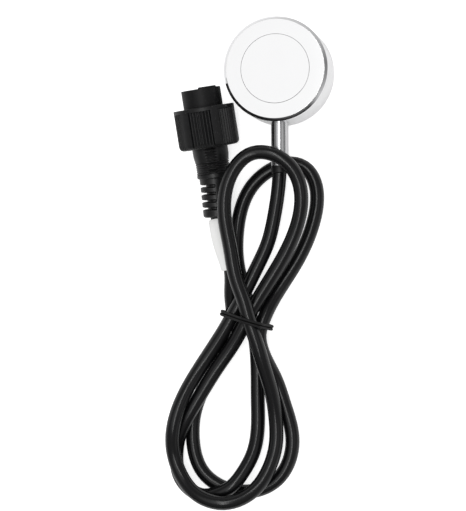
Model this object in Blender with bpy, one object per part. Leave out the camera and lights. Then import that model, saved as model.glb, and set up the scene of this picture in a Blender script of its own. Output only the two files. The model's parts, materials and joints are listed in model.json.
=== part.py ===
"""Ultrasonic tank sensor: a steel head on its back, its stem, its bundled cable and its plug.

All sizes are in millimetres. The origin is the centre of the head's rear face, +Z runs out
through the sensing face, and the stem leaves the head's side along -Y. The model lies on z = 0.
"""
import math

import bmesh
import bpy
import numpy as np
from mathutils import Matrix, Vector

MM = 0.001
SEAT_GAP = 0.3          # gap between two pieces that touch
EDGE_BREAK = 0.2        # small chamfer that takes the sharpness off an edge
ROUND_STEPS = 40        # facets round a middling turned piece
SMALL_STEPS = 24        # facets round a small turned piece
PIN_STEPS = 16
SEAL_STEPS = 24
SEAL_SIDES = 6          # facets round a seal's section
BORE_SIDES = 32         # facets round the stem's bore in the head
CURVE_SAMPLES = 6000
OVERRUN = 3.0           # how far a cutter stands past what it cuts

# Head housing
HEAD_DIAMETER = 50.0
HEAD_HEIGHT = 24.0
HEAD_WALL = 3.6
FACE_THICKNESS = 4.5
FACE_CHAMFER = 1.2
BASE_CHAMFER = 0.4
HEAD_STEPS = 60

# Sensing window, piezo disc and backing
WINDOW_THICKNESS = 2.0
WINDOW_LEDGE = 1.5
PIEZO_DIAMETER = 26.0
PIEZO_THICKNESS = 2.0
PIEZO_CLEARANCE = 2.0   # round the disc, to the hole behind the window
BACKING_SETBACK = 2.0   # from the disc's edge to the backing's, where the leads run

# Rear cover and its seal
COVER_LIP = 1.0
COVER_PLATE = 4.4
SPIGOT_HEIGHT = 4.5
SPIGOT_WALL = 4.4
SEAL_SECTION = 2.0
SEAL_SETBACK = 1.0

# Circuit board and what stands on it
BOARD_THICKNESS = 1.6
BOARD_CLEARANCE = 0.6
CHIP_SIDE = 9.0
CHIP_HEIGHT = 1.6
CHIP_PLACE = (-7.0, 2.0)
CAPACITOR_DIAMETER = 6.3
CAPACITOR_HEIGHT = 4.4
CAPACITOR_PLACE = (9.0, 4.0)
HEADER_WIDTH = 12.0
HEADER_DEPTH = 5.0
HEADER_OVER = 2.0       # from the stem's axis to the header's top
HEADER_SETBACK = 17.0
NOTCH_WIDTH = 7.0       # of the board's notch, where the cores pass
LEAD_DIAMETER = 0.8
LEAD_SPREAD = 2.5
LEAD_BOW = 0.5

# Stem
STEM_DIAMETER = 8.3
STEM_WALL = 0.5
STEM_INSET = 0.2        # how far the stem stands into the head's cavity
STEM_HEIGHT = 12.0
STEM_REACH = 45.4       # from the head's axis to the stem's mouth
GLAND_LENGTH = 7.7

# Cable
CABLE_DIAMETER = 6.8
CABLE_START = 31.0      # from the head's axis to the end of the sheath inside the stem
CORE_DIAMETER = 1.3
CORE_SPREAD = 1.2
CABLE_FREE_POINTS = 66
BEND_WEIGHT = 22.0      # how much closer the cable's points stand where it bends

# Sleeve on the cable
SLEEVE_DIAMETER = 9.1
SLEEVE_WALL = 0.85
SLEEVE_LENGTH = 25.0
SLEEVE_OFFSET = 1.8     # from the boot's end to the sleeve
SLEEVE_STATIONS = 5

# Elastic tie
TIE_CORD = 1.6
TIE_PITCH = 1.5         # between the cord's two turns, which just press together
TIE_STATIONS = 36
TIE_SECTION = (-110, -37, 37, 110)  # degrees round each turn of the cord
TIE_CENTRE = (-18.4, -118.3)
TIE_TURN = -17.0        # degrees, in plan, from +X

# Plug: distances run along its axis from the mouth towards the boot
PLUG_MOUTH = (-37.25, -7.95)
PLUG_HEADING = 7.4      # degrees in plan, from -Y towards +X
PLUG_FALL = 8.0         # degrees, the boot end lower than the mouth
PLUG_LIFT = 0.1         # between the coupling nut and the ground
BARREL_DIAMETER = 18.9
BARREL_WALL = 1.35
BARREL_TAIL_DIAMETER = 13.8
BARREL_TAIL_END = 33.0
FLANGE_DIAMETER = 23.4
FLANGE_START = 21.5
FLANGE_THICKNESS = 2.6
LUG_HEIGHT = 0.8
LUG_MIDDLE = 28.7       # degrees from the top, towards the right seen from behind
LUG_SPAN = 58.0
LUG_EDGE = 0.5          # degrees that the lug's flanks take
INSERT_SETBACK = 0.6
INSERT_END = 19.7
CONTACT_DIAMETER = 2.2
CONTACT_BORE = 1.1
CONTACT_BORE_DEPTH = 6.0
CONTACT_START = 1.2
CONTACT_END = 26.0
CONTACT_SPREAD = 3.4
CABLE_PLUG_END = 35.0
CORE_PLUG_SPREAD = 1.5

# Coupling nut
NUT_DIAMETER = 29.2
NUT_START = 8.9
NUT_LENGTH = 19.5
NUT_WALL = 2.35
NUT_REAR_WALL = 3.0
NUT_BORE_CLEARANCE = 0.4
NUT_RIM = 1.8
NUT_PANELS = 6
PANEL_SPAN = 43.5
PANEL_RIBS = 7
RIB_DEPTH = 0.6
RIB_CREST = (0.3, 0.7)  # where a rib's crest starts and ends, as shares of its pitch
BAND_POINTS = (0.04, 0.5, 0.96)
PANEL_DEPTH = 0.15
NUT_CHAMFER = 2.1
NUT_FRONT_CHAMFER = 0.4

# Boot
BOOT_DIAMETER = 17.1
BOOT_WAIST_DIAMETER = 16.2
BOOT_CAVITY_END = 33.3
BOOT_BORE_CLEARANCE = 0.3
BOOT_RINGS = 5
RINGS_START = 35.4
RING_DEPTH = 0.35
COLLAR_START = 41.1
COLLAR_WIDTH = 2.0
RELIEF_START = 43.1
RELIEF_DIAMETER = 14.0
RELIEF_END_DIAMETER = 13.4
RELIEF_CORE = 9.0
RELIEF_END_CORE = 8.8
RELIEF_SLOTS = 4
SLOT_WIDTH = 1.7
FIRST_SLOT = 45.8
SLOT_PITCH = 3.6
WEB_SPAN = 36.0
WEB_MIDDLE = 28.7
WEB_EDGE = 1.0          # degrees that a web's flanks take
BOOT_END = 61.8
BOOT_END_CHAMFER = 0.5
BEND_START = 36.0
BEND_END = 46.0
BOOT_BEND = 4.5         # degrees that the boot's tail turns back towards -Y

# Height of the cable's axis where it lies on the ground
LIE = 3.7

# The free cable's route, chosen by hand from the stem's mouth to the boot
CABLE_ROUTE = [
    (0.0, -39.0, 12.0), (-0.1, -46.5, 12.0), (-3.5, -72.0, 11.8), (-6.1, -82.0, 12.1),
    (-10.6, -91.9, 12.24), (-27.2, -122.9, 12.53), (-40.6, -142.9, 11.9), (-50.1, -163.0, 16.2),
    (-52.5, -173.5, 15.1), (-52.5, -182.5, 12.4), (-44.5, -198.5, 13.8), (-37.0, -203.5, 16.0),
    (-28.0, -205.5, 16.0), (-12.5, -198.5, 11.3), (-7.0, -190.0, 9.7), (-3.5, -177.5, 8.1),
    (-3.5, -165.5, 8.6), (-4.5, -155.0, 11.3), (-7.5, -141.5, 16.06), (-10.5, -129.5, 19.45),
    (-14.0, -118.5, 20.42), (-16.5, -109.5, 20.55), (-20.0, -99.0, 21.14), (-22.5, -85.0, 21.6),
    (-25.0, -71.0, 21.6), (-25.1, -61.5, 22.1), (-20.3, -47.3, 22.7), (-12.0, -40.0, 22.1),
    (0.0, -41.2, 21.6), (7.0, -47.0, 20.0), (10.5, -55.0, 18.4), (11.0, -64.0, 17.4),
    (9.0, -73.0, 15.8), (-10.0, -107.5, 13.15), (-16.4, -118.5, 13.14), (-22.9, -129.5, 11.49),
    (-31.4, -141.5, 10.65), (-39.4, -154.0, 11.0), (-50.0, -172.5, 8.7), (-52.5, -180.0, 5.1),
    (-51.0, -194.5, 4.0), (-39.5, -202.5, 7.3), (-32.5, -201.5, 10.1), (-25.5, -198.5, 11.0),
    (-19.5, -191.5, 9.2), (-15.0, -182.5, 6.5), (-13.0, -170.0, 4.1), (-13.0, -156.5, LIE),
    (-13.5, -130.5, 4.66), (-17.0, -111.5, 6.09), (-19.5, -103.0, 4.72), (-22.0, -94.0, 3.77),
    (-22.6, -76.0, LIE), (-15.5, -54.5, LIE), (-5.0, -45.8, LIE), (5.0, -43.5, LIE), (11.2, -46.0, LIE),
    (15.2, -51.8, LIE), (16.5, -62.5, LIE), (14.6, -72.2, LIE), (7.0, -89.8, LIE), (-3.4, -107.1, 7.15),
    (-8.9, -119.6, 11.54), (-10.4, -126.0, 12.11), (-9.8, -131.5, 11.51), (-4.0, -147.0, 4.6),
    (0.0, -159.0, LIE), (3.8, -177.3, LIE), (-3.2, -194.4, LIE), (-18.5, -200.8, LIE),
    (-40.0, -191.5, LIE), (-45.0, -174.0, LIE), (-44.0, -163.0, LIE), (-39.0, -150.0, LIE),
    (-30.5, -134.5, 4.33), (-25.5, -125.0, 5.64), (-24.4, -115.5, 5.99), (-24.8, -107.6, 8.18),
    (-24.3, -94.1, 12.17), (-26.5, -87.2, 12.1), (-29.2, -78.7, 11.2),
]


# Scene and materials

def clear_scene():
    for obj in list(bpy.data.objects):
        bpy.data.objects.remove(obj, do_unlink=True)


def make_material(name, colour, roughness, metallic):
    material = bpy.data.materials.new(name)
    material.use_nodes = True
    shader = material.node_tree.nodes["Principled BSDF"]
    shader.inputs["Base Color"].default_value = (*colour, 1.0)
    shader.inputs["Roughness"].default_value = roughness
    shader.inputs["Metallic"].default_value = metallic
    return material


def make_materials():
    return {
        "polished_steel": make_material("polished_steel", (0.80, 0.80, 0.81), 0.18, 1.0),
        "satin_steel": make_material("satin_steel", (0.86, 0.86, 0.86), 0.38, 1.0),
        "piezo_ceramic": make_material("piezo_ceramic", (0.62, 0.58, 0.50), 0.55, 0.0),
        "epoxy": make_material("epoxy", (0.10, 0.09, 0.08), 0.60, 0.0),
        "seal_rubber": make_material("seal_rubber", (0.03, 0.03, 0.03), 0.75, 0.0),
        "board_laminate": make_material("board_laminate", (0.05, 0.22, 0.10), 0.50, 0.0),
        "chip_black": make_material("chip_black", (0.02, 0.02, 0.02), 0.45, 0.0),
        "can_aluminium": make_material("can_aluminium", (0.78, 0.78, 0.80), 0.30, 1.0),
        "header_nylon": make_material("header_nylon", (0.85, 0.84, 0.78), 0.50, 0.0),
        "core_insulation": make_material("core_insulation", (0.55, 0.10, 0.08), 0.45, 0.0),
        "cable_sheath": make_material("cable_sheath", (0.015, 0.015, 0.016), 0.32, 0.0),
        "sleeve_white": make_material("sleeve_white", (0.88, 0.88, 0.86), 0.50, 0.0),
        "tie_elastic": make_material("tie_elastic", (0.02, 0.02, 0.02), 0.60, 0.0),
        "plug_black": make_material("plug_black", (0.02, 0.02, 0.022), 0.60, 0.0),
        "contact_brass": make_material("contact_brass", (0.85, 0.68, 0.35), 0.30, 1.0),
    }


# Building blocks

def link(name, mesh, material, parent=None, smooth_angle=30.0):
    obj = bpy.data.objects.new(name, mesh)
    bpy.context.collection.objects.link(obj)
    mesh.materials.append(material)
    mesh.shade_smooth()
    mesh.set_sharp_from_angle(angle=math.radians(smooth_angle))
    obj.parent = parent
    return obj


def mesh_from(bm, name):
    bmesh.ops.remove_doubles(bm, verts=bm.verts, dist=0.0005 * MM)
    bmesh.ops.recalc_face_normals(bm, faces=bm.faces)
    mesh = bpy.data.meshes.new(name)
    bm.to_mesh(mesh)
    bm.free()
    return mesh


def turned(name, profile, material, steps, closed=False, parent=None):
    """Spin a profile of (radius, height) round Z. A closed profile makes a ring."""
    bm = bmesh.new()
    verts = [bm.verts.new((radius * MM, 0.0, height * MM)) for radius, height in profile]
    edges = [bm.edges.new(pair) for pair in zip(verts, verts[1:])]
    if closed:
        edges.append(bm.edges.new((verts[-1], verts[0])))
    bmesh.ops.spin(bm, geom=verts + edges, cent=(0, 0, 0), axis=(0, 0, 1),
                   angle=math.tau, steps=steps, use_merge=True, use_duplicate=False)
    return link(name, mesh_from(bm, name), material, parent)


def skinned(name, rings, material, closed=False, parent=None):
    """Join rings of equally many points by faces. Closed joins the last ring to the first."""
    bm = bmesh.new()
    loops = [[bm.verts.new(Vector(point) * MM) for point in ring] for ring in rings]
    count = len(loops[0])
    pairs = list(zip(loops, loops[1:]))
    if closed:
        pairs.append((loops[-1], loops[0]))
    for low, high in pairs:
        for i in range(count):
            j = (i + 1) % count
            bm.faces.new((low[i], low[j], high[j], high[i]))
    if not closed:
        bm.faces.new(list(reversed(loops[0])))
        bm.faces.new(loops[-1])
    return link(name, mesh_from(bm, name), material, parent)


def block(name, size, centre, material):
    bm = bmesh.new()
    bmesh.ops.create_cube(bm, size=1.0)
    bmesh.ops.scale(bm, vec=Vector(size) * MM, verts=bm.verts)
    bmesh.ops.translate(bm, vec=Vector(centre) * MM, verts=bm.verts)
    bmesh.ops.bevel(bm, geom=bm.edges[:], offset=EDGE_BREAK * MM, offset_type="OFFSET", segments=1,
                    profile=0.5, affect="EDGES", material=-1)
    return link(name, mesh_from(bm, name), material)


def rod_between(bm, start, end, radius, sides=12):
    """Add a round rod from start to end, in millimetres, to a bmesh."""
    axis = Vector(end) - Vector(start)
    middle = (Vector(start) + Vector(end)) / 2
    place = Matrix.Translation(middle * MM) @ axis.to_track_quat("Z", "Y").to_matrix().to_4x4()
    bmesh.ops.create_cone(bm, cap_ends=True, segments=sides, radius1=radius * MM,
                          radius2=radius * MM, depth=axis.length * MM, matrix=place)


def rods(name, spans, radius, material, parent=None, sides=12):
    bm = bmesh.new()
    for start, end in spans:
        rod_between(bm, start, end, radius, sides)
    return link(name, mesh_from(bm, name), material, parent)


def tube_curve(name, points, radius, material, resolution):
    curve = bpy.data.curves.new(name, "CURVE")
    curve.dimensions = "3D"
    curve.fill_mode = "FULL"
    curve.bevel_depth = radius * MM
    curve.bevel_resolution = resolution
    curve.use_fill_caps = True
    spline = curve.splines.new("POLY")
    spline.points.add(len(points) - 1)
    for spot, point in zip(spline.points, points):
        spot.co = (*(Vector(point) * MM), 1.0)
    curve.materials.append(material)
    obj = bpy.data.objects.new(name, curve)
    bpy.context.collection.objects.link(obj)
    return obj


def cut(target, cutter):
    """Take the cutter's shape out of the target, and leave the cutter as a guide."""
    cutter.hide_render = True
    cutter.display_type = "WIRE"
    modifier = target.modifiers.new("cut_" + cutter.name, "BOOLEAN")
    modifier.operation = "DIFFERENCE"
    modifier.solver = "EXACT"
    modifier.object = cutter


def square_pattern(spread):
    return [(side * spread, rise * spread) for side in (-1, 1) for rise in (-1, 1)]


# Sizes that follow from the driving dimensions

HEAD_RADIUS = HEAD_DIAMETER / 2
HEAD_BORE = HEAD_RADIUS - HEAD_WALL
COVER_SEAT = HEAD_BORE + COVER_LIP
INNER_FACE = HEAD_HEIGHT - FACE_THICKNESS
PIEZO_RADIUS = PIEZO_DIAMETER / 2
WINDOW_HOLE = PIEZO_RADIUS + PIEZO_CLEARANCE
WINDOW_RADIUS = WINDOW_HOLE + WINDOW_LEDGE
WINDOW_BACK = HEAD_HEIGHT - WINDOW_THICKNESS
PIEZO_TOP = WINDOW_BACK - SEAT_GAP
PIEZO_BACK = PIEZO_TOP - PIEZO_THICKNESS
BACKING_TOP = PIEZO_BACK - SEAT_GAP
SPIGOT_TOP = COVER_PLATE + SPIGOT_HEIGHT
BOARD_BACK = SPIGOT_TOP + SEAT_GAP
BOARD_TOP = BOARD_BACK + BOARD_THICKNESS
PART_BASE = BOARD_TOP + SEAT_GAP
HEADER_HEIGHT = STEM_HEIGHT + HEADER_OVER - PART_BASE
BACKING_BASE = PART_BASE + max(CHIP_HEIGHT, CAPACITOR_HEIGHT, HEADER_HEIGHT) + SEAT_GAP
BACKING_RADIUS = PIEZO_RADIUS - BACKING_SETBACK
STEM_RADIUS = STEM_DIAMETER / 2
STEM_BORE = STEM_RADIUS - STEM_WALL
STEM_INNER_END = HEAD_BORE - STEM_INSET
CABLE_RADIUS = CABLE_DIAMETER / 2
GLAND_OUTER_END = CABLE_START - SEAT_GAP
FLANGE_END = FLANGE_START + FLANGE_THICKNESS
NUT_END = NUT_START + NUT_LENGTH
NUT_INNER_WALL = NUT_END - NUT_REAR_WALL
BARREL_RADIUS = BARREL_DIAMETER / 2
INSERT_RADIUS = BARREL_RADIUS - BARREL_WALL - SEAT_GAP
BARREL_TAIL_BORE = BARREL_TAIL_DIAMETER / 2 - BARREL_WALL
BOOT_BORE = CABLE_RADIUS + BOOT_BORE_CLEARANCE


# Head

def build_head(m):
    wall = [
        (HEAD_RADIUS - BASE_CHAMFER, 0.0), (HEAD_RADIUS, BASE_CHAMFER),
        (HEAD_RADIUS, HEAD_HEIGHT - FACE_CHAMFER), (HEAD_RADIUS - FACE_CHAMFER, HEAD_HEIGHT),
        (WINDOW_RADIUS + SEAT_GAP, HEAD_HEIGHT), (WINDOW_RADIUS + SEAT_GAP, WINDOW_BACK - SEAT_GAP),
        (WINDOW_HOLE, WINDOW_BACK - SEAT_GAP), (WINDOW_HOLE, INNER_FACE), (HEAD_BORE, INNER_FACE),
        (HEAD_BORE, COVER_PLATE + SEAT_GAP), (COVER_SEAT, COVER_PLATE + SEAT_GAP), (COVER_SEAT, 0.0),
    ]
    housing = turned("head_housing", wall, m["polished_steel"], HEAD_STEPS, closed=True)
    span = ((0, OVERRUN - HEAD_BORE, STEM_HEIGHT), (0, -OVERRUN - HEAD_RADIUS, STEM_HEIGHT))
    cut(housing, rods("stem_bore", [span], STEM_RADIUS + SEAT_GAP, m["polished_steel"],
                      sides=BORE_SIDES))
    window = [
        (0.0, WINDOW_BACK), (WINDOW_RADIUS, WINDOW_BACK), (WINDOW_RADIUS, HEAD_HEIGHT - EDGE_BREAK),
        (WINDOW_RADIUS - EDGE_BREAK, HEAD_HEIGHT), (0.0, HEAD_HEIGHT),
    ]
    turned("sensing_window", window, m["satin_steel"], HEAD_STEPS)


def build_transducer(m):
    piezo = [(0, PIEZO_BACK), (PIEZO_RADIUS, PIEZO_BACK), (PIEZO_RADIUS, PIEZO_TOP), (0, PIEZO_TOP)]
    turned("piezo_disc", piezo, m["piezo_ceramic"], ROUND_STEPS)
    backing = [(0, BACKING_BASE), (BACKING_RADIUS, BACKING_BASE), (BACKING_RADIUS, BACKING_TOP),
               (0, BACKING_TOP)]
    turned("backing_block", backing, m["epoxy"], ROUND_STEPS)
    reach = (BACKING_RADIUS + PIEZO_RADIUS) / 2
    for index, side in enumerate((-1, 1), start=1):
        x = side * LEAD_SPREAD
        y = math.sqrt(reach ** 2 - x ** 2)
        middle = (PART_BASE + PIEZO_BACK) / 2
        points = [(x, y, PART_BASE), (x, y + LEAD_BOW, middle), (x, y, PIEZO_BACK - SEAT_GAP)]
        tube_curve(f"piezo_lead_{index}", points, LEAD_DIAMETER / 2, m["core_insulation"], 1)


def build_rear_cover(m):
    rim = HEAD_BORE - SEAT_GAP
    groove_width = SEAL_SECTION + 2 * SEAT_GAP
    groove_floor = HEAD_BORE - SEAL_SECTION - 2 * SEAT_GAP
    groove_low = COVER_PLATE + SEAL_SETBACK
    cover = [
        (0.0, 0.0), (COVER_SEAT - SEAT_GAP, 0.0), (COVER_SEAT - SEAT_GAP, COVER_PLATE),
        (rim, COVER_PLATE), (rim, groove_low), (groove_floor, groove_low),
        (groove_floor, groove_low + groove_width), (rim, groove_low + groove_width),
        (rim, SPIGOT_TOP), (rim - SPIGOT_WALL, SPIGOT_TOP), (rim - SPIGOT_WALL, COVER_PLATE),
        (0.0, COVER_PLATE),
    ]
    turned("rear_cover", cover, m["satin_steel"], ROUND_STEPS)
    middle = groove_floor + SEAT_GAP + SEAL_SECTION / 2
    height = groove_low + groove_width / 2
    section = [(middle + SEAL_SECTION / 2 * math.cos(a), height + SEAL_SECTION / 2 * math.sin(a))
               for a in np.linspace(0, math.tau, SEAL_SIDES, endpoint=False)]
    turned("cover_seal", section, m["seal_rubber"], SEAL_STEPS, closed=True)


def build_board(m):
    radius = HEAD_BORE - BOARD_CLEARANCE
    board = [(0, BOARD_BACK), (radius, BOARD_BACK), (radius, BOARD_TOP), (0, BOARD_TOP)]
    laminate = turned("circuit_board", board, m["board_laminate"], ROUND_STEPS)
    notch = HEADER_SETBACK + SEAT_GAP
    reach = radius + OVERRUN - notch
    size = (NOTCH_WIDTH, reach, BOARD_THICKNESS + 2 * OVERRUN)
    place = (0, -notch - reach / 2, BOARD_BACK + BOARD_THICKNESS / 2)
    cut(laminate, block("board_notch", size, place, m["board_laminate"]))
    block("driver_chip", (CHIP_SIDE, CHIP_SIDE, CHIP_HEIGHT),
          (*CHIP_PLACE, PART_BASE + CHIP_HEIGHT / 2), m["chip_black"])
    radius = CAPACITOR_DIAMETER / 2
    can = [(0, 0), (radius, 0), (radius, CAPACITOR_HEIGHT - EDGE_BREAK),
           (radius - EDGE_BREAK, CAPACITOR_HEIGHT), (0, CAPACITOR_HEIGHT)]
    capacitor = turned("filter_capacitor", can, m["can_aluminium"], SMALL_STEPS)
    capacitor.location = Vector((*CAPACITOR_PLACE, PART_BASE)) * MM
    block("core_header", (HEADER_WIDTH, HEADER_DEPTH, HEADER_HEIGHT),
          (0, -HEADER_SETBACK + HEADER_DEPTH / 2, PART_BASE + HEADER_HEIGHT / 2), m["header_nylon"])


# Stem, its gland and the cores inside it

def build_stem(m):
    tube = [
        (STEM_BORE, STEM_INNER_END), (STEM_RADIUS, STEM_INNER_END), (STEM_RADIUS, STEM_REACH - EDGE_BREAK),
        (STEM_RADIUS - EDGE_BREAK, STEM_REACH), (STEM_BORE, STEM_REACH),
    ]
    stem_axis = bpy.data.objects.new("stem_axis", None)
    bpy.context.collection.objects.link(stem_axis)
    stem_axis.location = (0.0, 0.0, STEM_HEIGHT * MM)
    stem_axis.rotation_euler = (math.radians(90), 0.0, 0.0)
    turned("stem_tube", tube, m["polished_steel"], ROUND_STEPS, closed=True, parent=stem_axis)
    radius = STEM_BORE - SEAT_GAP
    low = GLAND_OUTER_END - GLAND_LENGTH
    gland = turned("stem_gland", [(0, low), (radius, low), (radius, GLAND_OUTER_END), (0, GLAND_OUTER_END)],
                   m["seal_rubber"], SMALL_STEPS, parent=stem_axis)
    spots = square_pattern(CORE_SPREAD)
    passages = [((x, y, low - OVERRUN), (x, y, GLAND_OUTER_END + OVERRUN)) for x, y in spots]
    cut(gland, rods("gland_passages", passages, CORE_DIAMETER / 2 + SEAT_GAP, m["seal_rubber"], stem_axis))
    for index, (x, y) in enumerate(spots, start=1):
        span = ((x, y, HEADER_SETBACK + SEAT_GAP), (x, y, GLAND_OUTER_END))
        rods(f"core_wire_{index}", [span], CORE_DIAMETER / 2, m["core_insulation"], stem_axis)


# Plug: local Z runs from the mouth to the boot, local Y is the top and local X the right side

def plug_matrix():
    heading = math.radians(PLUG_HEADING)
    fall = math.radians(PLUG_FALL)
    along = Vector((math.sin(heading) * math.cos(fall), -math.cos(heading) * math.cos(fall), -math.sin(fall)))
    top = Vector((math.sin(heading) * math.sin(fall), -math.cos(heading) * math.sin(fall), math.cos(fall)))
    side = top.cross(along)
    rest = NUT_END - NUT_CHAMFER
    rise = NUT_DIAMETER / 2 * math.cos(fall) + PLUG_LIFT + rest * math.sin(fall)
    turn = Matrix((side, top, along)).transposed().to_4x4()
    return Matrix.Translation(Vector((*PLUG_MOUTH, rise)) * MM) @ turn


def boot_axis_point(s):
    """The boot's axis in the plug's own axes: straight, then a gentle bend, then straight."""
    span = BEND_END - BEND_START
    turn = math.radians(BOOT_BEND)
    radius = span / turn
    bent = min(max(s - BEND_START, 0.0), span) / radius
    rest = max(s - BEND_END, 0.0)
    x = -radius * (1 - math.cos(bent)) - rest * math.sin(bent)
    z = min(s, BEND_START) + radius * math.sin(bent) + rest * math.cos(bent)
    return Vector((x, 0.0, z)), bent


def boot_ring(s, radii, angles):
    """One ring of the boot, across its bent axis."""
    centre, bent = boot_axis_point(s)
    ring = []
    for radius, angle in zip(radii, angles):
        x = radius * math.sin(angle)
        y = radius * math.cos(angle)
        ring.append(centre + Vector((x * math.cos(bent), y, x * math.sin(bent))))
    return ring


def build_barrel(m, axis):
    half = math.radians(LUG_SPAN / 2)
    edge = math.radians(LUG_EDGE)
    middle = math.radians(LUG_MIDDLE)
    on_lug = np.linspace(middle - half, middle + half, 5).tolist()
    off_lug = np.linspace(middle + half + edge, middle - half - edge + math.tau, 33).tolist()
    angles = on_lug + off_lug
    fronts = [-LUG_HEIGHT] * len(on_lug) + [0.0] * len(off_lug)
    bore = BARREL_RADIUS - BARREL_WALL
    tail = BARREL_TAIL_DIAMETER / 2
    flange = FLANGE_DIAMETER / 2
    shelf = INSERT_END + SEAT_GAP
    profile = [
        (BARREL_RADIUS, FLANGE_START), (flange, FLANGE_START), (flange, FLANGE_END), (tail, FLANGE_END),
        (tail, BARREL_TAIL_END), (BARREL_TAIL_BORE, BARREL_TAIL_END), (BARREL_TAIL_BORE, shelf),
        (bore, shelf),
    ]
    rings = [[(r * math.sin(a), r * math.cos(a), s) for a in angles] for r, s in profile]
    for radius, back in ((bore, 0.0), (BARREL_RADIUS - EDGE_BREAK, 0.0), (BARREL_RADIUS, EDGE_BREAK)):
        rings.append([(radius * math.sin(a), radius * math.cos(a), front + back)
                      for a, front in zip(angles, fronts)])
    skinned("plug_barrel", rings, m["plug_black"], closed=True, parent=axis)


def build_contacts(m, axis):
    body = [(0, INSERT_SETBACK), (INSERT_RADIUS, INSERT_SETBACK), (INSERT_RADIUS, INSERT_END),
            (0, INSERT_END)]
    insert = turned("contact_insert", body, m["plug_black"], ROUND_STEPS, parent=axis)
    spots = square_pattern(CONTACT_SPREAD / math.sqrt(2))
    holes = [((x, y, INSERT_SETBACK - OVERRUN), (x, y, INSERT_END + OVERRUN)) for x, y in spots]
    hole_radius = CONTACT_DIAMETER / 2 + SEAT_GAP
    cut(insert, rods("contact_holes", holes, hole_radius, m["plug_black"], axis, sides=PIN_STEPS))
    radius = CONTACT_DIAMETER / 2
    bore = CONTACT_BORE / 2
    socket = [
        (0, CONTACT_END), (radius, CONTACT_END), (radius, CONTACT_START), (bore, CONTACT_START),
        (bore, CONTACT_START + CONTACT_BORE_DEPTH), (0, CONTACT_START + CONTACT_BORE_DEPTH),
    ]
    near = square_pattern(CORE_PLUG_SPREAD / math.sqrt(2))
    for index, ((x, y), (u, v)) in enumerate(zip(spots, near), start=1):
        contact = turned(f"contact_{index}", socket, m["contact_brass"], PIN_STEPS, parent=axis)
        contact.location = (x * MM, y * MM, 0.0)
        span = ((x, y, CONTACT_END + 2 * SEAT_GAP), (u, v, CABLE_PLUG_END - 2 * SEAT_GAP))
        rods(f"plug_core_{index}", [span], CORE_DIAMETER / 2, m["core_insulation"], axis)


def build_seal_ring(m, axis):
    inner = BARREL_RADIUS + SEAT_GAP
    outer = FLANGE_DIAMETER / 2 - SEAT_GAP
    radius = (outer - inner) / 2
    middle = (outer + inner) / 2
    height = FLANGE_START - SEAT_GAP - radius
    section = [(middle + radius * math.cos(a), height + radius * math.sin(a))
               for a in np.linspace(0, math.tau, SEAL_SIDES, endpoint=False)]
    turned("plug_seal_ring", section, m["seal_rubber"], SEAL_STEPS, closed=True, parent=axis)


def nut_outline(depth):
    """The nut's outline round its axis, in (angle, radius): ribbed panels between smooth bands."""
    radius = NUT_DIAMETER / 2
    panel = math.radians(PANEL_SPAN)
    pitch = math.tau / NUT_PANELS
    rib = panel / PANEL_RIBS
    outline = []
    for k in range(NUT_PANELS):
        start = k * pitch - panel / 2
        for i in range(PANEL_RIBS):
            foot = radius - depth * (PANEL_DEPTH + RIB_DEPTH)
            crest = radius - depth * PANEL_DEPTH
            outline.append((start + i * rib, foot))
            outline.append((start + (i + RIB_CREST[0]) * rib, crest))
            outline.append((start + (i + RIB_CREST[1]) * rib, crest))
        outline.append((start + panel, radius - depth * (PANEL_DEPTH + RIB_DEPTH)))
        band = pitch - panel
        for share in BAND_POINTS:
            outline.append((start + panel + share * band, radius))
    return outline


def build_nut(m, axis):
    radius = NUT_DIAMETER / 2
    cavity = radius - NUT_WALL
    bore = BOOT_DIAMETER / 2 + NUT_BORE_CLEARANCE
    plain = nut_outline(0.0)
    ribbed = nut_outline(1.0)
    panel_start = NUT_START + NUT_RIM
    shoulder = NUT_END - NUT_CHAMFER

    def ring(outline, s, limit=None):
        return [(min(r, limit or r) * math.sin(a), min(r, limit or r) * math.cos(a), s) for a, r in outline]

    rings = [
        ring(plain, NUT_START, radius - NUT_FRONT_CHAMFER), ring(plain, NUT_START + NUT_FRONT_CHAMFER),
        ring(plain, panel_start), ring(ribbed, panel_start + EDGE_BREAK), ring(ribbed, shoulder),
        ring(plain, NUT_END, radius - NUT_CHAMFER), ring(plain, NUT_END, bore),
        ring(plain, NUT_INNER_WALL, bore), ring(plain, NUT_INNER_WALL, cavity),
        ring(plain, NUT_START, cavity),
    ]
    nut_axis = bpy.data.objects.new("nut_axis", None)
    bpy.context.collection.objects.link(nut_axis)
    nut_axis.parent = axis
    skinned("coupling_nut", rings, m["plug_black"], closed=True, parent=nut_axis)


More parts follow.
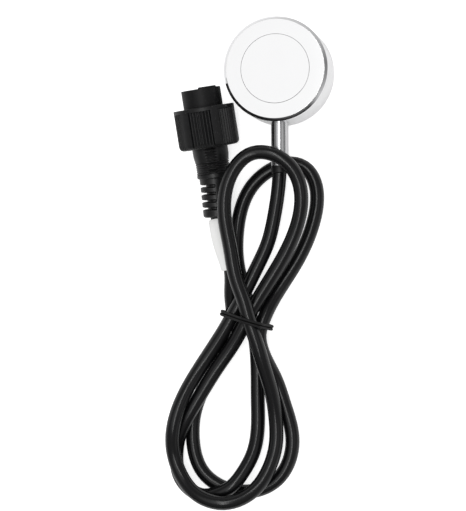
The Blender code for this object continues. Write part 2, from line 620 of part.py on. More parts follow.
def boot_profile():
    """The boot's outside as (distance, radius at the webs, radius between the webs)."""
    front = BOOT_DIAMETER / 2
    waist = BOOT_WAIST_DIAMETER / 2
    pitch = (COLLAR_START - RINGS_START) / BOOT_RINGS
    profile = [(FLANGE_END + SEAT_GAP, front, front), (RINGS_START, waist, waist)]
    for k in range(BOOT_RINGS):
        start = RINGS_START + k * pitch
        low = waist - RING_DEPTH
        profile += [(start + 0.2 * pitch, low, low), (start + 0.4 * pitch, waist, waist),
                    (start + pitch, waist, waist)]
    profile.append((COLLAR_START + COLLAR_WIDTH - EDGE_BREAK, waist, waist))

    def relief(s, first, last):
        share = (s - RELIEF_START) / (BOOT_END - RELIEF_START)
        return (first + (last - first) * share) / 2

    def outer(s):
        return relief(s, RELIEF_DIAMETER, RELIEF_END_DIAMETER)

    profile.append((RELIEF_START, outer(RELIEF_START), outer(RELIEF_START)))
    for k in range(RELIEF_SLOTS):
        start = FIRST_SLOT + k * SLOT_PITCH
        end = start + SLOT_WIDTH
        core = relief((start + end) / 2, RELIEF_CORE, RELIEF_END_CORE)
        profile += [(start, outer(start), outer(start)), (start + EDGE_BREAK, outer(start), core),
                    (end - EDGE_BREAK, outer(end), core), (end, outer(end), outer(end))]
    tip = outer(BOOT_END) - BOOT_END_CHAMFER
    profile += [(BOOT_END - BOOT_END_CHAMFER, outer(BOOT_END), outer(BOOT_END)), (BOOT_END, tip, tip)]
    return profile


def build_boot(m, axis):
    half = math.radians(WEB_SPAN / 2)
    edge = math.radians(WEB_EDGE)
    angles = []
    web = []
    for side in (0.0, math.pi):
        middle = math.radians(WEB_MIDDLE) + side
        for t in (-1.0, 0.0, 1.0):
            angles.append(middle + t * half)
            web.append(True)
        clear = np.linspace(middle + half + edge, middle + math.pi - half - edge, 11)
        angles += clear.tolist()
        web += [False] * len(clear)
    rings = []
    for s, at_web, between in boot_profile():
        rings.append(boot_ring(s, [at_web if on else between for on in web], angles))
    cavity = BARREL_TAIL_DIAMETER / 2 + SEAT_GAP
    inside = [(BOOT_END, BOOT_BORE), (BEND_END, BOOT_BORE), ((BEND_START + BEND_END) / 2, BOOT_BORE),
              (BEND_START, BOOT_BORE), (BOOT_CAVITY_END, BOOT_BORE), (BOOT_CAVITY_END, cavity),
              (FLANGE_END + SEAT_GAP, cavity)]
    rings += [boot_ring(s, [radius] * len(angles), angles) for s, radius in inside]
    skinned("plug_boot", rings, m["plug_black"], closed=True, parent=axis)


# Cable, its sleeve and its tie

def smooth_curve(knots, samples):
    """Points on the natural cubic spline through the knots, and their distance along it."""
    knots = np.array(knots, float)
    span = np.linalg.norm(np.diff(knots, axis=0), axis=1)
    t = np.concatenate(([0.0], np.cumsum(span)))
    n = len(knots)
    left = np.eye(n)
    right = np.zeros((n, 3))
    for i in range(1, n - 1):
        left[i, i - 1:i + 2] = span[i - 1], 2 * (span[i - 1] + span[i]), span[i]
        rise = (knots[i + 1] - knots[i]) / span[i] - (knots[i] - knots[i - 1]) / span[i - 1]
        right[i] = 6 * rise
    bend = np.linalg.solve(left, right)
    u = np.linspace(0.0, t[-1], samples)
    i = np.clip(np.searchsorted(t, u) - 1, 0, n - 2)
    h = span[i][:, None]
    a = (t[i + 1] - u)[:, None]
    b = (u - t[i])[:, None]
    points = (bend[i] * a ** 3 + bend[i + 1] * b ** 3) / (6 * h)
    points += (knots[i] / h - bend[i] * h / 6) * a + (knots[i + 1] / h - bend[i + 1] * h / 6) * b
    along = np.concatenate(([0.0], np.cumsum(np.linalg.norm(np.diff(points, axis=0), axis=1))))
    return points, along


def points_at(points, along, distances):
    return np.stack([np.interp(distances, along, points[:, k]) for k in range(3)], axis=1)


def in_world(frame, local):
    return tuple((frame @ (Vector(local) * MM)) / MM)


def cable_course(frame):
    """The cable's points: the stem, the free stretch, then its stations in the sleeve and in the boot."""
    bend_middle = (BEND_START + BEND_END) / 2
    tail_middle = (BEND_END + BOOT_END) / 2
    inside = [in_world(frame, boot_axis_point(s)[0])
              for s in (BOOT_END, tail_middle, BEND_END, bend_middle, CABLE_PLUG_END)]
    knots = [(0.0, -CABLE_START, STEM_HEIGHT)] + CABLE_ROUTE + inside
    points, along = smooth_curve(knots, CURVE_SAMPLES)
    boot_end = along[np.argmin(np.linalg.norm(points - np.array(inside[0]), axis=1))]
    sleeve_end = boot_end - SLEEVE_OFFSET
    sleeve_start = sleeve_end - SLEEVE_LENGTH
    tangent = np.gradient(points, axis=0)
    tangent /= np.linalg.norm(tangent, axis=1)[:, None]
    step = along[-1] / (len(points) - 1)
    turning = np.linalg.norm(np.gradient(tangent, axis=0), axis=1) / step
    weight = np.cumsum(1.0 + BEND_WEIGHT * turning)
    stem_mouth, last = np.interp((STEM_REACH - CABLE_START, sleeve_start), along, weight)
    free = np.interp(np.linspace(stem_mouth, last, CABLE_FREE_POINTS), weight, along)
    stations = np.linspace(sleeve_start, sleeve_end, SLEEVE_STATIONS)
    tail = np.linspace(boot_end, along[-1], 6)
    distances = np.concatenate(([0.0], free[:-1], stations, tail))
    return points_at(points, along, distances), len(free)


def build_cable(m, course):
    tube_curve("cable", course, CABLE_RADIUS, m["cable_sheath"], 2)


def build_sleeve(m, course, first):
    stations = range(first, first + SLEEVE_STATIONS)
    outer = []
    inner = []
    for i in stations:
        along = Vector(course[i + 1] - course[i - 1]).normalized()
        side = along.cross(Vector((0, 0, 1))).normalized()
        up = side.cross(along)
        for rings, radius in ((outer, SLEEVE_DIAMETER / 2), (inner, SLEEVE_DIAMETER / 2 - SLEEVE_WALL)):
            rings.append([Vector(course[i]) + side * radius * math.cos(a) + up * radius * math.sin(a)
                          for a in np.linspace(0, math.tau, 20, endpoint=False)])
    skinned("cable_sleeve", outer + inner[::-1], m["sleeve_white"], closed=True)


def strands_at(course, spot, normal):
    """Where the cable's strands pass a plane, and their directions."""
    offsets = (course - np.array(spot)) @ np.array(normal)
    found = []
    for i in range(len(course) - 1):
        if offsets[i] * offsets[i + 1] < 0:
            share = offsets[i] / (offsets[i] - offsets[i + 1])
            point = course[i] + share * (course[i + 1] - course[i])
            near = np.linalg.norm(point[:2] - np.array(spot[:2])) < 3 * CABLE_DIAMETER
            if near:
                found.append((Vector(point), Vector(course[i + 1] - course[i]).normalized()))
    return found


def build_tie(m, course):
    """A cord wound twice round the strands: it follows the tight line round their sections."""
    turn = math.radians(TIE_TURN)
    across = Vector((math.cos(turn), math.sin(turn), 0.0))
    normal = Vector((-math.sin(turn), math.cos(turn), 0.0))
    up = Vector((0.0, 0.0, 1.0))
    centre = Vector((*TIE_CENTRE, 0.0))
    lobe = TIE_CORD / 2
    strands = []
    for shift in (-TIE_CORD, 0.0, TIE_CORD):
        strands += strands_at(course, centre + normal * shift, normal)
    rings = []
    for angle in np.linspace(0, math.tau, TIE_STATIONS, endpoint=False):
        out = across * math.cos(angle) + up * math.sin(angle)
        best = None
        for point, along in strands:
            lean = normal.dot(along)
            skew = out - normal * (out.dot(along) / lean)
            spot = point + skew.normalized() * CABLE_RADIUS
            spot = spot - along * (normal.dot(spot - point) / lean)
            reach = (spot - centre).dot(out)
            if best is None or reach > best[0]:
                flat = spot - centre
                best = (reach, centre + across * flat.dot(across) + up * flat.z)
        middle = best[1] + out * (SEAT_GAP + lobe)
        ring = []
        for side in (-1, 1):
            for a in np.radians(TIE_SECTION):
                along_bundle = normal * (TIE_PITCH / 2 + lobe * math.cos(a))
                ring.append(middle + side * (along_bundle + out * lobe * math.sin(a)))
        rings.append(ring)
    skinned("elastic_tie", rings, m["tie_elastic"], closed=True)


def main():
    clear_scene()
    m = make_materials()
    build_head(m)
    build_transducer(m)
    build_rear_cover(m)
    build_board(m)
    build_stem(m)
    frame = plug_matrix()
    axis = bpy.data.objects.new("plug_axis", None)
    bpy.context.collection.objects.link(axis)
    axis.matrix_world = frame
    build_barrel(m, axis)
    build_contacts(m, axis)
    build_seal_ring(m, axis)
    build_nut(m, axis)
    build_boot(m, axis)
    course, first = cable_course(frame)
    build_cable(m, course)
    build_sleeve(m, course, first)
    build_tie(m, course)
    bpy.context.view_layer.update()


main()
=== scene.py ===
"""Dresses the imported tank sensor: steel head and stem, bundled cable, sleeve, tie and plug.

Lengths are in metres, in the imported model's own frame: the origin is the centre of the head's
rear face, +Z runs out through the sensing face and the stem leaves the head along -Y.
"""
import json
import math

import bmesh
import bpy
import numpy as np
from bpy.props import FloatProperty, FloatVectorProperty, IntProperty, PointerProperty
from mathutils import Matrix, Vector


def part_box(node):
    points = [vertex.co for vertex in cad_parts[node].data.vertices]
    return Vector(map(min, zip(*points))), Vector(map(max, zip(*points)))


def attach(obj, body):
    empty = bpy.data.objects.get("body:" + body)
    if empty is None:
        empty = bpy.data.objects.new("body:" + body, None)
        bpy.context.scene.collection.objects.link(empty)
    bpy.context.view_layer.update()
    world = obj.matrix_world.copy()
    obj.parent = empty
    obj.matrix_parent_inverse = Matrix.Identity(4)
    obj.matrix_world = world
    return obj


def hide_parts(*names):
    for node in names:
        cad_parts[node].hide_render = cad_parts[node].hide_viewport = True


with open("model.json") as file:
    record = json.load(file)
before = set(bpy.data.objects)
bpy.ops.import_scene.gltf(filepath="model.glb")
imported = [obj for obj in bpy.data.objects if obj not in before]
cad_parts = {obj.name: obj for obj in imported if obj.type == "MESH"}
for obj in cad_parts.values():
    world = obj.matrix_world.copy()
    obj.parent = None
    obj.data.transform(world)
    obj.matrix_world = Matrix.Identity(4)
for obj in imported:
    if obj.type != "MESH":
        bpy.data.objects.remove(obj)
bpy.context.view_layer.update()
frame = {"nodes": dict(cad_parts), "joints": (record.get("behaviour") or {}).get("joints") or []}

bl_info = {
    "name": "Tank sensor finishes",
    "version": (1, 0, 0),
    "blender": (4, 5, 0),
    "location": "3D View > Sidebar > Sensor",
    "description": "Builds and finishes the visible pieces of an ultrasonic tank sensor",
    "category": "Add Mesh",
}

MM = 0.001
NEAR = 0.02 * MM            # closer than this counts as lying on a face
SEAT_GAP = 0.3 * MM         # between the boot and what it sits on
FLOOR_DROP = 0.1 * MM       # from the sensor down to the paper
SHARP_ANGLE = math.radians(35)      # edges sharper than this are shaded as edges
PANEL_SIDE = math.radians(0.5)      # half the width of the step at the side of the nut's panels
DETAIL = {                  # small lengths, and the ends of what is hidden, from the mouth of the plug
    "hairline depth": 0.4 * MM, "ledge": 1 * MM, "mouth": 1 * MM, "panel slope": 0.15 * MM,
    "boot taper": 4 * MM, "insert end": 20 * MM, "tail end": 33 * MM, "tail seat end": 33.3 * MM,
    "sheath end": 35 * MM,
}
ROUND = {                   # roundings of edges
    "rim": 0.05 * MM, "housing": 0.15 * MM, "cover": 0.2 * MM, "stem collar": 0.6 * MM,
    "collar lip": 0.2 * MM, "sleeve": 0.2 * MM, "mouth": 0.2 * MM, "barrel": 0.3 * MM, "nut": 0.4 * MM,
    "boot collar": 0.4 * MM, "boot end": 0.6 * MM,
}
HEAD_LOW, HEAD_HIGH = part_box("head_housing")
STEM_LOW, STEM_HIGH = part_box("stem_tube")
WINDOW_LOW, WINDOW_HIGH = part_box("sensing_window")
COVER_LOW, COVER_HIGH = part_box("rear_cover")
NUT_JOINT = frame["joints"][0]
NUT_MIDDLE = 18.65 * MM     # from the plug's mouth to the point that the nut's joint names
TIE_TURN = math.radians(17)
TIE_OFFSET = Vector((math.sin(TIE_TURN), math.cos(TIE_TURN), 0.0))      # from turn to turn of the tie
TIE_WAIST = 0.6 * MM        # the edges that join the two turns lie within this of their middle
TIE_EDGE = 0.48 * MM        # from the middle to where those edges end
TIE_SHADE_HALF_WIDTH = 0.2 * MM         # half the width of the painted shade, a near-black band down the crease between the turns

# The free cable's route in millimetres, the same points as the imported model's, from stem to boot
CABLE_ROUTE = np.array((
    (0, -39, 12), (-0.1, -46.5, 12), (-3.5, -72, 11.8), (-6.1, -82, 12.1), (-10.6, -91.9, 12.24),
    (-27.2, -122.9, 12.53), (-40.6, -142.9, 11.9), (-50.1, -163, 16.2), (-52.5, -173.5, 15.1),
    (-52.5, -182.5, 12.4), (-44.5, -198.5, 13.8), (-37, -203.5, 16), (-28, -205.5, 16),
    (-12.5, -198.5, 11.3), (-7, -190, 9.7), (-3.5, -177.5, 8.1), (-3.5, -165.5, 8.6), (-4.5, -155, 11.3),
    (-7.5, -141.5, 16.06), (-10.5, -129.5, 19.45), (-14, -118.5, 20.42), (-16.5, -109.5, 20.55),
    (-20, -99, 21.14), (-22.5, -85, 21.6), (-25, -71, 21.6), (-25.1, -61.5, 22.1), (-20.3, -47.3, 22.7),
    (-12, -40, 22.1), (0, -41.2, 21.6), (7, -47, 20), (10.5, -55, 18.4), (11, -64, 17.4), (9, -73, 15.8),
    (-10, -107.5, 13.15), (-16.4, -118.5, 13.14), (-22.9, -129.5, 11.49), (-31.4, -141.5, 10.65),
    (-39.4, -154, 11), (-50, -172.5, 8.7), (-52.5, -180, 5.1), (-51, -194.5, 4), (-39.5, -202.5, 7.3),
    (-32.5, -201.5, 10.1), (-25.5, -198.5, 11), (-19.5, -191.5, 9.2), (-15, -182.5, 6.5), (-13, -170, 4.1),
    (-13, -156.5, 3.7), (-13.5, -130.5, 4.66), (-17, -111.5, 6.09), (-19.5, -103, 4.72), (-22, -94, 3.77),
    (-22.6, -76, 3.7), (-15.5, -54.5, 3.7), (-5, -45.8, 3.7), (5, -43.5, 3.7), (11.2, -46, 3.7),
    (15.2, -51.8, 3.7), (16.5, -62.5, 3.7), (14.6, -72.2, 3.7), (7, -89.8, 3.7), (-3.4, -107.1, 7.15),
    (-8.9, -119.6, 11.54), (-10.4, -126, 12.11), (-9.8, -131.5, 11.51), (-4, -147, 4.6), (0, -159, 3.7),
    (3.8, -177.3, 3.7), (-3.2, -194.4, 3.7), (-18.5, -200.8, 3.7), (-40, -191.5, 3.7), (-45, -174, 3.7),
    (-44, -163, 3.7), (-39, -150, 3.7), (-30.5, -134.5, 4.33), (-25.5, -125, 5.64), (-24.4, -115.5, 5.99),
    (-24.8, -107.6, 8.18), (-24.3, -94.1, 12.17), (-26.5, -87.2, 12.1), (-29.2, -78.7, 11.2),
)) / 1000


# Settings that a user can change

def size(name, description, default):
    return FloatProperty(name=name, description=description, default=default, min=0.0, precision=5,
                         unit="LENGTH")


def station(name, end, default):
    return size(name, "From the mouth to " + end, default)


def turn(name, description, degrees):
    return FloatProperty(name=name, description=description, default=math.radians(degrees), unit="ROTATION")


def count(name, description, default):
    return IntProperty(name=name, description=description, default=default, min=1)


def colour(name, piece, default):
    return FloatVectorProperty(name=name, description="Colour of " + piece, default=default, size=3,
                               min=0.0, max=1.0, subtype="COLOR")


class HeadSettings(bpy.types.PropertyGroup):
    diameter: size("Diameter", "Across the head", HEAD_HIGH.x - HEAD_LOW.x)
    height: size("Height", "From the rear face to the sensing face", HEAD_HIGH.z)
    bore: size("Bore", "Across the cavity's mouth at the rear", 0.0448)
    rim: size("Rim", "Width of the polished chamfer round the sensing face", 0.00138)
    rim_height: size("Rim height", "Height of the polished chamfer", 0.0012)
    rear_edge: size("Rear edge", "Width of the softened edge at the rear", 0.0004)
    window: size("Window", "Across the sensing window", WINDOW_HIGH.x - WINDOW_LOW.x)
    hairline: size("Hairline", "Width of the line round the window", 0.00006)
    hairline_edge: size("Hairline edge", "Chamfer of the window's edge beside the line", 0.00013)
    window_lift: size("Window lift", "How far the window stands above the face round it", 0.00006)
    cover: size("Cover", "Across the rear cover", COVER_HIGH.x - COVER_LOW.x)
    steel: colour("Steel", "the polished steel", (0.86, 0.86, 0.87))
    # Darker than the head's steel: painted shade that dims the stem's reflections
    stem: colour("Shaded stem steel", "the stem's steel", (0.6, 0.6, 0.61))
    satin: colour("Satin steel", "the satin face", (0.92, 0.92, 0.925))


class StemSettings(bpy.types.PropertyGroup):
    diameter: size("Diameter", "Across the stem", STEM_HIGH.x - STEM_LOW.x)
    collar: size("Collar", "Across the gland's collar at the stem's mouth", 0.0082)
    collar_bore: size("Collar bore", "Across the hole in the collar, which grips the cable", 0.0065)
    collar_length: size("Collar length", "How far the collar stands out of the stem", 0.0034)
    bore: size("Bore", "Across the stem's bore", 0.0073)
    edge: size("Edge", "Rounding of the stem's mouth", 0.0002)


class CableSettings(bpy.types.PropertyGroup):
    diameter: size("Diameter", "Across the sheath", 0.0068)
    start: size("Start", "From the head's axis to the sheath's end inside the stem", 0.031)
    points: count("Points", "Points along the cable", 520)
    sheath: colour("Sheath", "the sheath", (0.004, 0.004, 0.0045))
    sleeve_diameter: size("Sleeve diameter", "Across the white sleeve", 0.0091)
    sleeve_wall: size("Sleeve wall", "Thickness of the white sleeve", 0.00085)
    sleeve_length: size("Sleeve length", "Length of the white sleeve", 0.025)
    sleeve_offset: size("Sleeve offset", "From the boot's end to the sleeve", 0.0018)
    sleeve: colour("Sleeve", "the white sleeve", (0.9, 0.9, 0.89))
    tie_groove: size("Tie groove", "Depth of the groove between the tie's two turns", 0.0006)
    tie: colour("Tie", "the elastic tie", (0.0065, 0.0065, 0.007))


class PlugSettings(bpy.types.PropertyGroup):
    barrel: size("Barrel", "Across the barrel", 0.0189)
    barrel_wall: size("Barrel wall", "Thickness of the barrel's wall", 0.00135)
    tail: size("Tail", "Across the barrel's tail inside the boot", 0.0138)
    flange: size("Flange", "Across the barrel's flange", 0.0234)
    flange_start: station("Flange start", "the flange", 0.0215)
    flange_width: size("Flange width", "Thickness of the flange", 0.0026)
    lug: size("Lug", "How far the lug stands above the rim", 0.00065)
    lug_middle: turn("Lug middle", "From the top to the middle of the lug", 32.5)
    lug_span: turn("Lug span", "How far the lug runs round the rim", 58.0)
    plastic: colour("Plastic", "the plug's moulded plastic", (0.006, 0.006, 0.0065))


class NutSettings(bpy.types.PropertyGroup):
    diameter: size("Diameter", "Across the coupling nut", 0.0292)
    start: station("Start", "the nut", 0.0089)
    length: size("Length", "Length of the nut", 0.0195)
    wall: size("Wall", "Thickness of the nut's wall", 0.00235)
    rear_wall: size("Rear wall", "Thickness of the nut's rear wall", 0.003)
    bore: size("Bore", "Across the hole in the rear wall", 0.0176)
    rim: size("Rim", "Width of the smooth rim at the front", 0.0018)
    shoulder: size("Shoulder", "Rounding of the rear edge", 0.0026)
    panels: count("Panels", "Ribbed panels round the nut", 6)
    ribs: count("Ribs", "Ribs on each panel", 7)
    panel_span: turn("Panel span", "How far a panel runs round the nut", 43.5)
    panel_depth: size("Panel depth", "How far the ribs' crests lie below the bands", 0.0003)
    rib_depth: size("Rib depth", "Depth of the grooves between the ribs", 0.00062)


class BootSettings(bpy.types.PropertyGroup):
    diameter: size("Diameter", "Across the boot's front", 0.0171)
    waist: size("Waist", "Across the boot's collar", 0.0162)
    bore: size("Bore", "Across the cable's hole", 0.0074)
    rings: count("Rings", "Fine rings round the waist", 5)
    rings_start: station("Rings start", "the fine rings", 0.0354)
    ring_depth: size("Ring depth", "Depth of the grooves between the rings", 0.00035)
    strip_middle: turn("Strip middle", "From the top to the middle of the ribbed strip", 10.0)
    strip_span: turn("Strip span", "How far the ribbed strip runs round the boot", 36.0)
    strip_pitch: size("Strip pitch", "From one rib of the strip to the next", 0.0013)
    strip_depth: size("Strip depth", "Depth of the grooves between the strip's ribs", 0.0006)
    collar_start: station("Collar start", "the collar", 0.0411)
    relief_start: station("Relief start", "the slotted strain relief", 0.0431)
    relief: size("Relief", "Across the strain relief's first ring", 0.0143)
    relief_end: size("Relief end", "Across the strain relief's last ring", 0.0134)
    core: size("Core", "Across the core between the first rings", 0.0086)
    core_end: size("Core end", "Across the core between the last rings", 0.0084)
    slots: count("Slots", "Slots in the strain relief", 4)
    first_slot: station("First slot", "the first slot", 0.0463)
    slot_width: size("Slot width", "Width of a slot", 0.0008)
    slot_pitch: size("Slot pitch", "From one slot to the next", 0.0036)
    web_middle: turn("Web middle", "From the top to the middle of the web that joins the rings", 28.7)
    web_span: turn("Web span", "How far a web runs round the relief", 36.0)
    end: station("End", "the boot's end", 0.0618)
    bend_start: station("Bend start", "the start of the boot's bend", 0.036)
    bend_end: station("Bend end", "the end of the boot's bend", 0.046)
    bend: turn("Bend", "How far the boot's tail turns", 4.5)


class StageSettings(bpy.types.PropertyGroup):
    distance: size("Distance", "From the camera to the point it looks at", 1.0)
    target: FloatVectorProperty(name="Target", description="Point that the camera looks at",
                                default=(-0.0254, -0.0872, 0.0), size=3, subtype="TRANSLATION")
    aside: turn("Aside", "How far the camera stands over to the right", 11.052)
    below: turn("Below", "How far the camera stands over towards the cable", 2.578)
    roll: turn("Roll", "How far the camera is rolled", -0.327)
    lens: FloatProperty(name="Lens", description="Focal length", default=145.4, unit="CAMERA")
    floor: size("Floor", "Side of the floor", 8.0)
    paper: colour("Paper", "the floor", (0.82, 0.82, 0.82))


SETTINGS = {
    "head": HeadSettings, "stem": StemSettings, "cable": CableSettings, "plug": PlugSettings,
    "nut": NutSettings, "boot": BootSettings, "stage": StageSettings,
}


class SensorSettings(bpy.types.PropertyGroup):
    __annotations__ = {name: PointerProperty(type=group) for name, group in SETTINGS.items()}


# Material nodes

def put(tree, kind, inputs=None, **settings):
    """Add a node. An input is given a value, or a socket to link it to."""
    node = tree.nodes.new(kind)
    for name, value in settings.items():
        setattr(node, name, value)
    for name, value in (inputs or {}).items():
        if isinstance(value, bpy.types.NodeSocket):
            tree.links.new(value, node.inputs[name])
        else:
            node.inputs[name].default_value = value
    return node


def maths(tree, operation, first, second, clamp=False):
    return put(tree, "ShaderNodeMath", {0: first, 1: second}, operation=operation,
               use_clamp=clamp).outputs[0]


def new_group(name, inputs, outputs):
    tree = bpy.data.node_groups.new(name, "ShaderNodeTree")
    for label, kind, default in inputs:
        socket = tree.interface.new_socket(label, in_out="INPUT", socket_type=kind)
        if default is not None:
            socket.default_value = default
    for label, kind in outputs:
        tree.interface.new_socket(label, in_out="OUTPUT", socket_type=kind)
    return tree, tree.nodes.new("NodeGroupInput").outputs, tree.nodes.new("NodeGroupOutput").inputs


def noise(tree, place, width, detail, roughness):
    """Soft noise with patches of the given width."""
    return put(tree, "ShaderNodeTexNoise", {
        "Vector": place, "Scale": maths(tree, "DIVIDE", 1.0, width), "Detail": detail,
        "Roughness": roughness}).outputs["Fac"]


def grain_group():
    """Fine moulded or blasted grain: a height, and a roughness that varies a little."""
    tree, given, wanted = new_group(
        "Fine grain",
        [("Vector", "NodeSocketVector", None), ("Grain size", "NodeSocketFloat", 0.0003),
         ("Patch size", "NodeSocketFloat", 0.006), ("Roughness", "NodeSocketFloat", 0.5),
         ("Spread", "NodeSocketFloat", 0.1)],
        [("Roughness", "NodeSocketFloat"), ("Height", "NodeSocketFloat")])
    fine = noise(tree, given["Vector"], given["Grain size"], 3.0, 0.55)
    patch = noise(tree, given["Vector"], given["Patch size"], 4.0, 0.6)
    mixed = maths(tree, "ADD", patch, maths(tree, "MULTIPLY", fine, 0.4))
    offset = maths(tree, "MULTIPLY", maths(tree, "SUBTRACT", mixed, 0.7), given["Spread"])
    tree.links.new(maths(tree, "ADD", given["Roughness"], offset, clamp=True), wanted["Roughness"])
    tree.links.new(fine, wanted["Height"])
    return tree


def tone_group():
    """A colour that grows lighter and darker in soft patches, with a few pale specks of dust."""
    tree, given, wanted = new_group(
        "Soft tone",
        [("Vector", "NodeSocketVector", None), ("Color", "NodeSocketColor", (0.5, 0.5, 0.5, 1.0)),
         ("Patch size", "NodeSocketFloat", 0.01), ("Amount", "NodeSocketFloat", 0.2),
         ("Speck size", "NodeSocketFloat", 0.0005), ("Specks", "NodeSocketFloat", 0.0)],
        [("Color", "NodeSocketColor")])
    patch = noise(tree, given["Vector"], given["Patch size"], 3.0, 0.5)
    swing = maths(tree, "MULTIPLY", maths(tree, "SUBTRACT", patch, 0.5), given["Amount"])
    toned = put(tree, "ShaderNodeHueSaturation", {
        "Color": given["Color"], "Value": maths(tree, "ADD", 1.0, swing)})
    dust = noise(tree, given["Vector"], given["Speck size"], 1.0, 0.4)
    speck = put(tree, "ShaderNodeMapRange", {"Value": dust, "From Min": 0.66, "From Max": 0.78})
    mask = maths(tree, "MULTIPLY", speck.outputs["Result"], given["Specks"], clamp=True)
    mixed = put(tree, "ShaderNodeMix", {
        0: mask, 6: toned.outputs["Color"], 7: (0.35, 0.35, 0.35, 1.0)}, data_type="RGBA")
    tree.links.new(mixed.outputs[2], wanted["Color"])
    return tree


def turning_group():
    """Fine rings that a lathe leaves, by the distance from the local Z axis."""
    tree, given, wanted = new_group(
        "Turned rings",
        [("Vector", "NodeSocketVector", None), ("Ring width", "NodeSocketFloat", 0.0002),
         ("Roughness", "NodeSocketFloat", 0.3), ("Spread", "NodeSocketFloat", 0.1)],
        [("Roughness", "NodeSocketFloat"), ("Height", "NodeSocketFloat")])
    flat = put(tree, "ShaderNodeVectorMath", {0: given["Vector"], 1: (1.0, 1.0, 0.0)},
               operation="MULTIPLY")
    reach = put(tree, "ShaderNodeVectorMath", {0: flat.outputs[0]}, operation="LENGTH")
    place = maths(tree, "DIVIDE", reach.outputs["Value"], given["Ring width"])
    rings = put(tree, "ShaderNodeTexNoise", {"W": place, "Scale": 1.0, "Detail": 2.0},
                noise_dimensions="1D")
    offset = maths(tree, "MULTIPLY", maths(tree, "SUBTRACT", rings.outputs["Fac"], 0.5), given["Spread"])
    tree.links.new(maths(tree, "ADD", given["Roughness"], offset, clamp=True), wanted["Roughness"])
    tree.links.new(rings.outputs["Fac"], wanted["Height"])
    return tree


GROUPS = {}


def group_node(tree, name, inputs):
    builders = {"grain": grain_group, "tone": tone_group, "rings": turning_group}
    if name not in GROUPS:
        GROUPS[name] = builders[name]()
    return put(tree, "ShaderNodeGroup", inputs, node_tree=GROUPS[name]).outputs


def new_material(name, metallic=0.0, specular=0.5):
    material = bpy.data.materials.new(name)
    material.use_nodes = True
    tree = material.node_tree
    shader = tree.nodes["Principled BSDF"]
    shader.inputs["Metallic"].default_value = metallic
    shader.inputs["Specular IOR Level"].default_value = specular
    place = put(tree, "ShaderNodeTexCoord").outputs["Object"]
    return material, tree, shader, place


def link_tone(tree, shader, place, tint, patch, amount, specks=0.0):
    """Give a shader its colour through the soft change of tone."""
    toned = group_node(tree, "tone", {"Vector": place, "Color": (*tint, 1.0), "Patch size": patch,
                                      "Amount": amount, "Specks": specks})
    tree.links.new(toned["Color"], shader.inputs["Base Color"])


def link_surface(tree, shader, surface, strength, distance):
    """Give a shader the roughness of a surface group, and its height as bump."""
    tree.links.new(surface["Roughness"], shader.inputs["Roughness"])
    bump = put(tree, "ShaderNodeBump", {"Height": surface["Height"], "Strength": strength,
                                        "Distance": distance})
    tree.links.new(bump.outputs["Normal"], shader.inputs["Normal"])


def grained_material(name, tint, roughness, spread=0.1, grain=0.0004, height=0.00001, specular=0.5,
                     tone=0.3, specks=0.0, patch=0.008):
    """Plastic or rubber with a fine grain, a soft change of tone and, if asked, specks of dust."""
    material, tree, shader, place = new_material(name, specular=specular)
    link_tone(tree, shader, place, tint, patch, tone, specks)
    link_surface(tree, shader, group_node(tree, "grain", {
        "Vector": place, "Grain size": grain, "Patch size": patch, "Roughness": roughness,
        "Spread": spread}), 0.5, height)
    return material


def steel_material(name, tint, roughness, spread=0.0, ring=0.0003, height=0.0, metallic=1.0):
    """Lathe-turned steel: rings round the piece's own Z axis, and a soft change of tone."""
    material, tree, shader, place = new_material(name, metallic=metallic)
    link_tone(tree, shader, place, tint, 0.012, 0.03)
    link_surface(tree, shader, group_node(tree, "rings", {
        "Vector": place, "Ring width": ring, "Roughness": roughness, "Spread": spread}), 0.3, height)
    return material


# Modelling helpers

def soften(corners, closed=False, segments=5):
    """A turned profile from (radius, height, softening) corners: each softened corner is a curve."""
    points = []
    last = len(corners) - 1
    for i, (radius, height, cut) in enumerate(corners):
        here = np.array((radius, height))
        if cut == 0.0 or (not closed and i in (0, last)):
            points.append(tuple(here))
            continue
        before = np.array(corners[i - 1][:2]) - here
        after = np.array(corners[(i + 1) % len(corners)][:2]) - here
        start = here + before / np.linalg.norm(before) * cut
        end = here + after / np.linalg.norm(after) * cut
        for t in np.linspace(0.0, 1.0, segments + 1):
            points.append(tuple(start * (1 - t) ** 2 + here * 2 * t * (1 - t) + end * t ** 2))
    return points


def turned(profile, steps, closed=False):
    """Spin a profile of (radius, height) round Z into a bmesh."""
    bm = bmesh.new()
    verts = [bm.verts.new((radius, 0.0, height)) for radius, height in profile]
    edges = [bm.edges.new(pair) for pair in zip(verts, verts[1:])]
    if closed:
        edges.append(bm.edges.new((verts[-1], verts[0])))
    bmesh.ops.spin(bm, geom=verts + edges, cent=(0, 0, 0), axis=(0, 0, 1), angle=math.tau, steps=steps,
                   use_merge=True, use_duplicate=False)
    bmesh.ops.remove_doubles(bm, verts=bm.verts, dist=1e-6)
    bmesh.ops.recalc_face_normals(bm, faces=bm.faces)
    return bm


def declare_piece(name, data, body, nodes):
    """Put a piece in the scene and say what it rides on and the nodes that it stands for."""
    piece = bpy.data.objects.new(name, data)
    bpy.context.scene.collection.objects.link(piece)
    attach(piece, body)
    if nodes:
        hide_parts(*nodes)
    return piece


def finish_piece(name, bm, materials, body, nodes, place=None):
    """Make the bmesh a finished piece: in place, shaded, dressed, riding and standing for its nodes."""
    mesh = bpy.data.meshes.new(name)
    if place is not None:
        bmesh.ops.transform(bm, matrix=place, verts=bm.verts)
    bm.to_mesh(mesh)
    bm.free()
    for material in materials:
        mesh.materials.append(material)
    mesh.shade_smooth()
    mesh.set_sharp_from_angle(angle=SHARP_ANGLE)
    return declare_piece(name, mesh, body, nodes)


def smooth_step(value, low, high):
    t = np.clip((value - low) / (high - low), 0.0, 1.0)
    return t * t * (3 - 2 * t)


def around(vert):
    """A vertex's angle round the plug, from the top towards the right side."""
    return math.atan2(vert.co.x, vert.co.y)


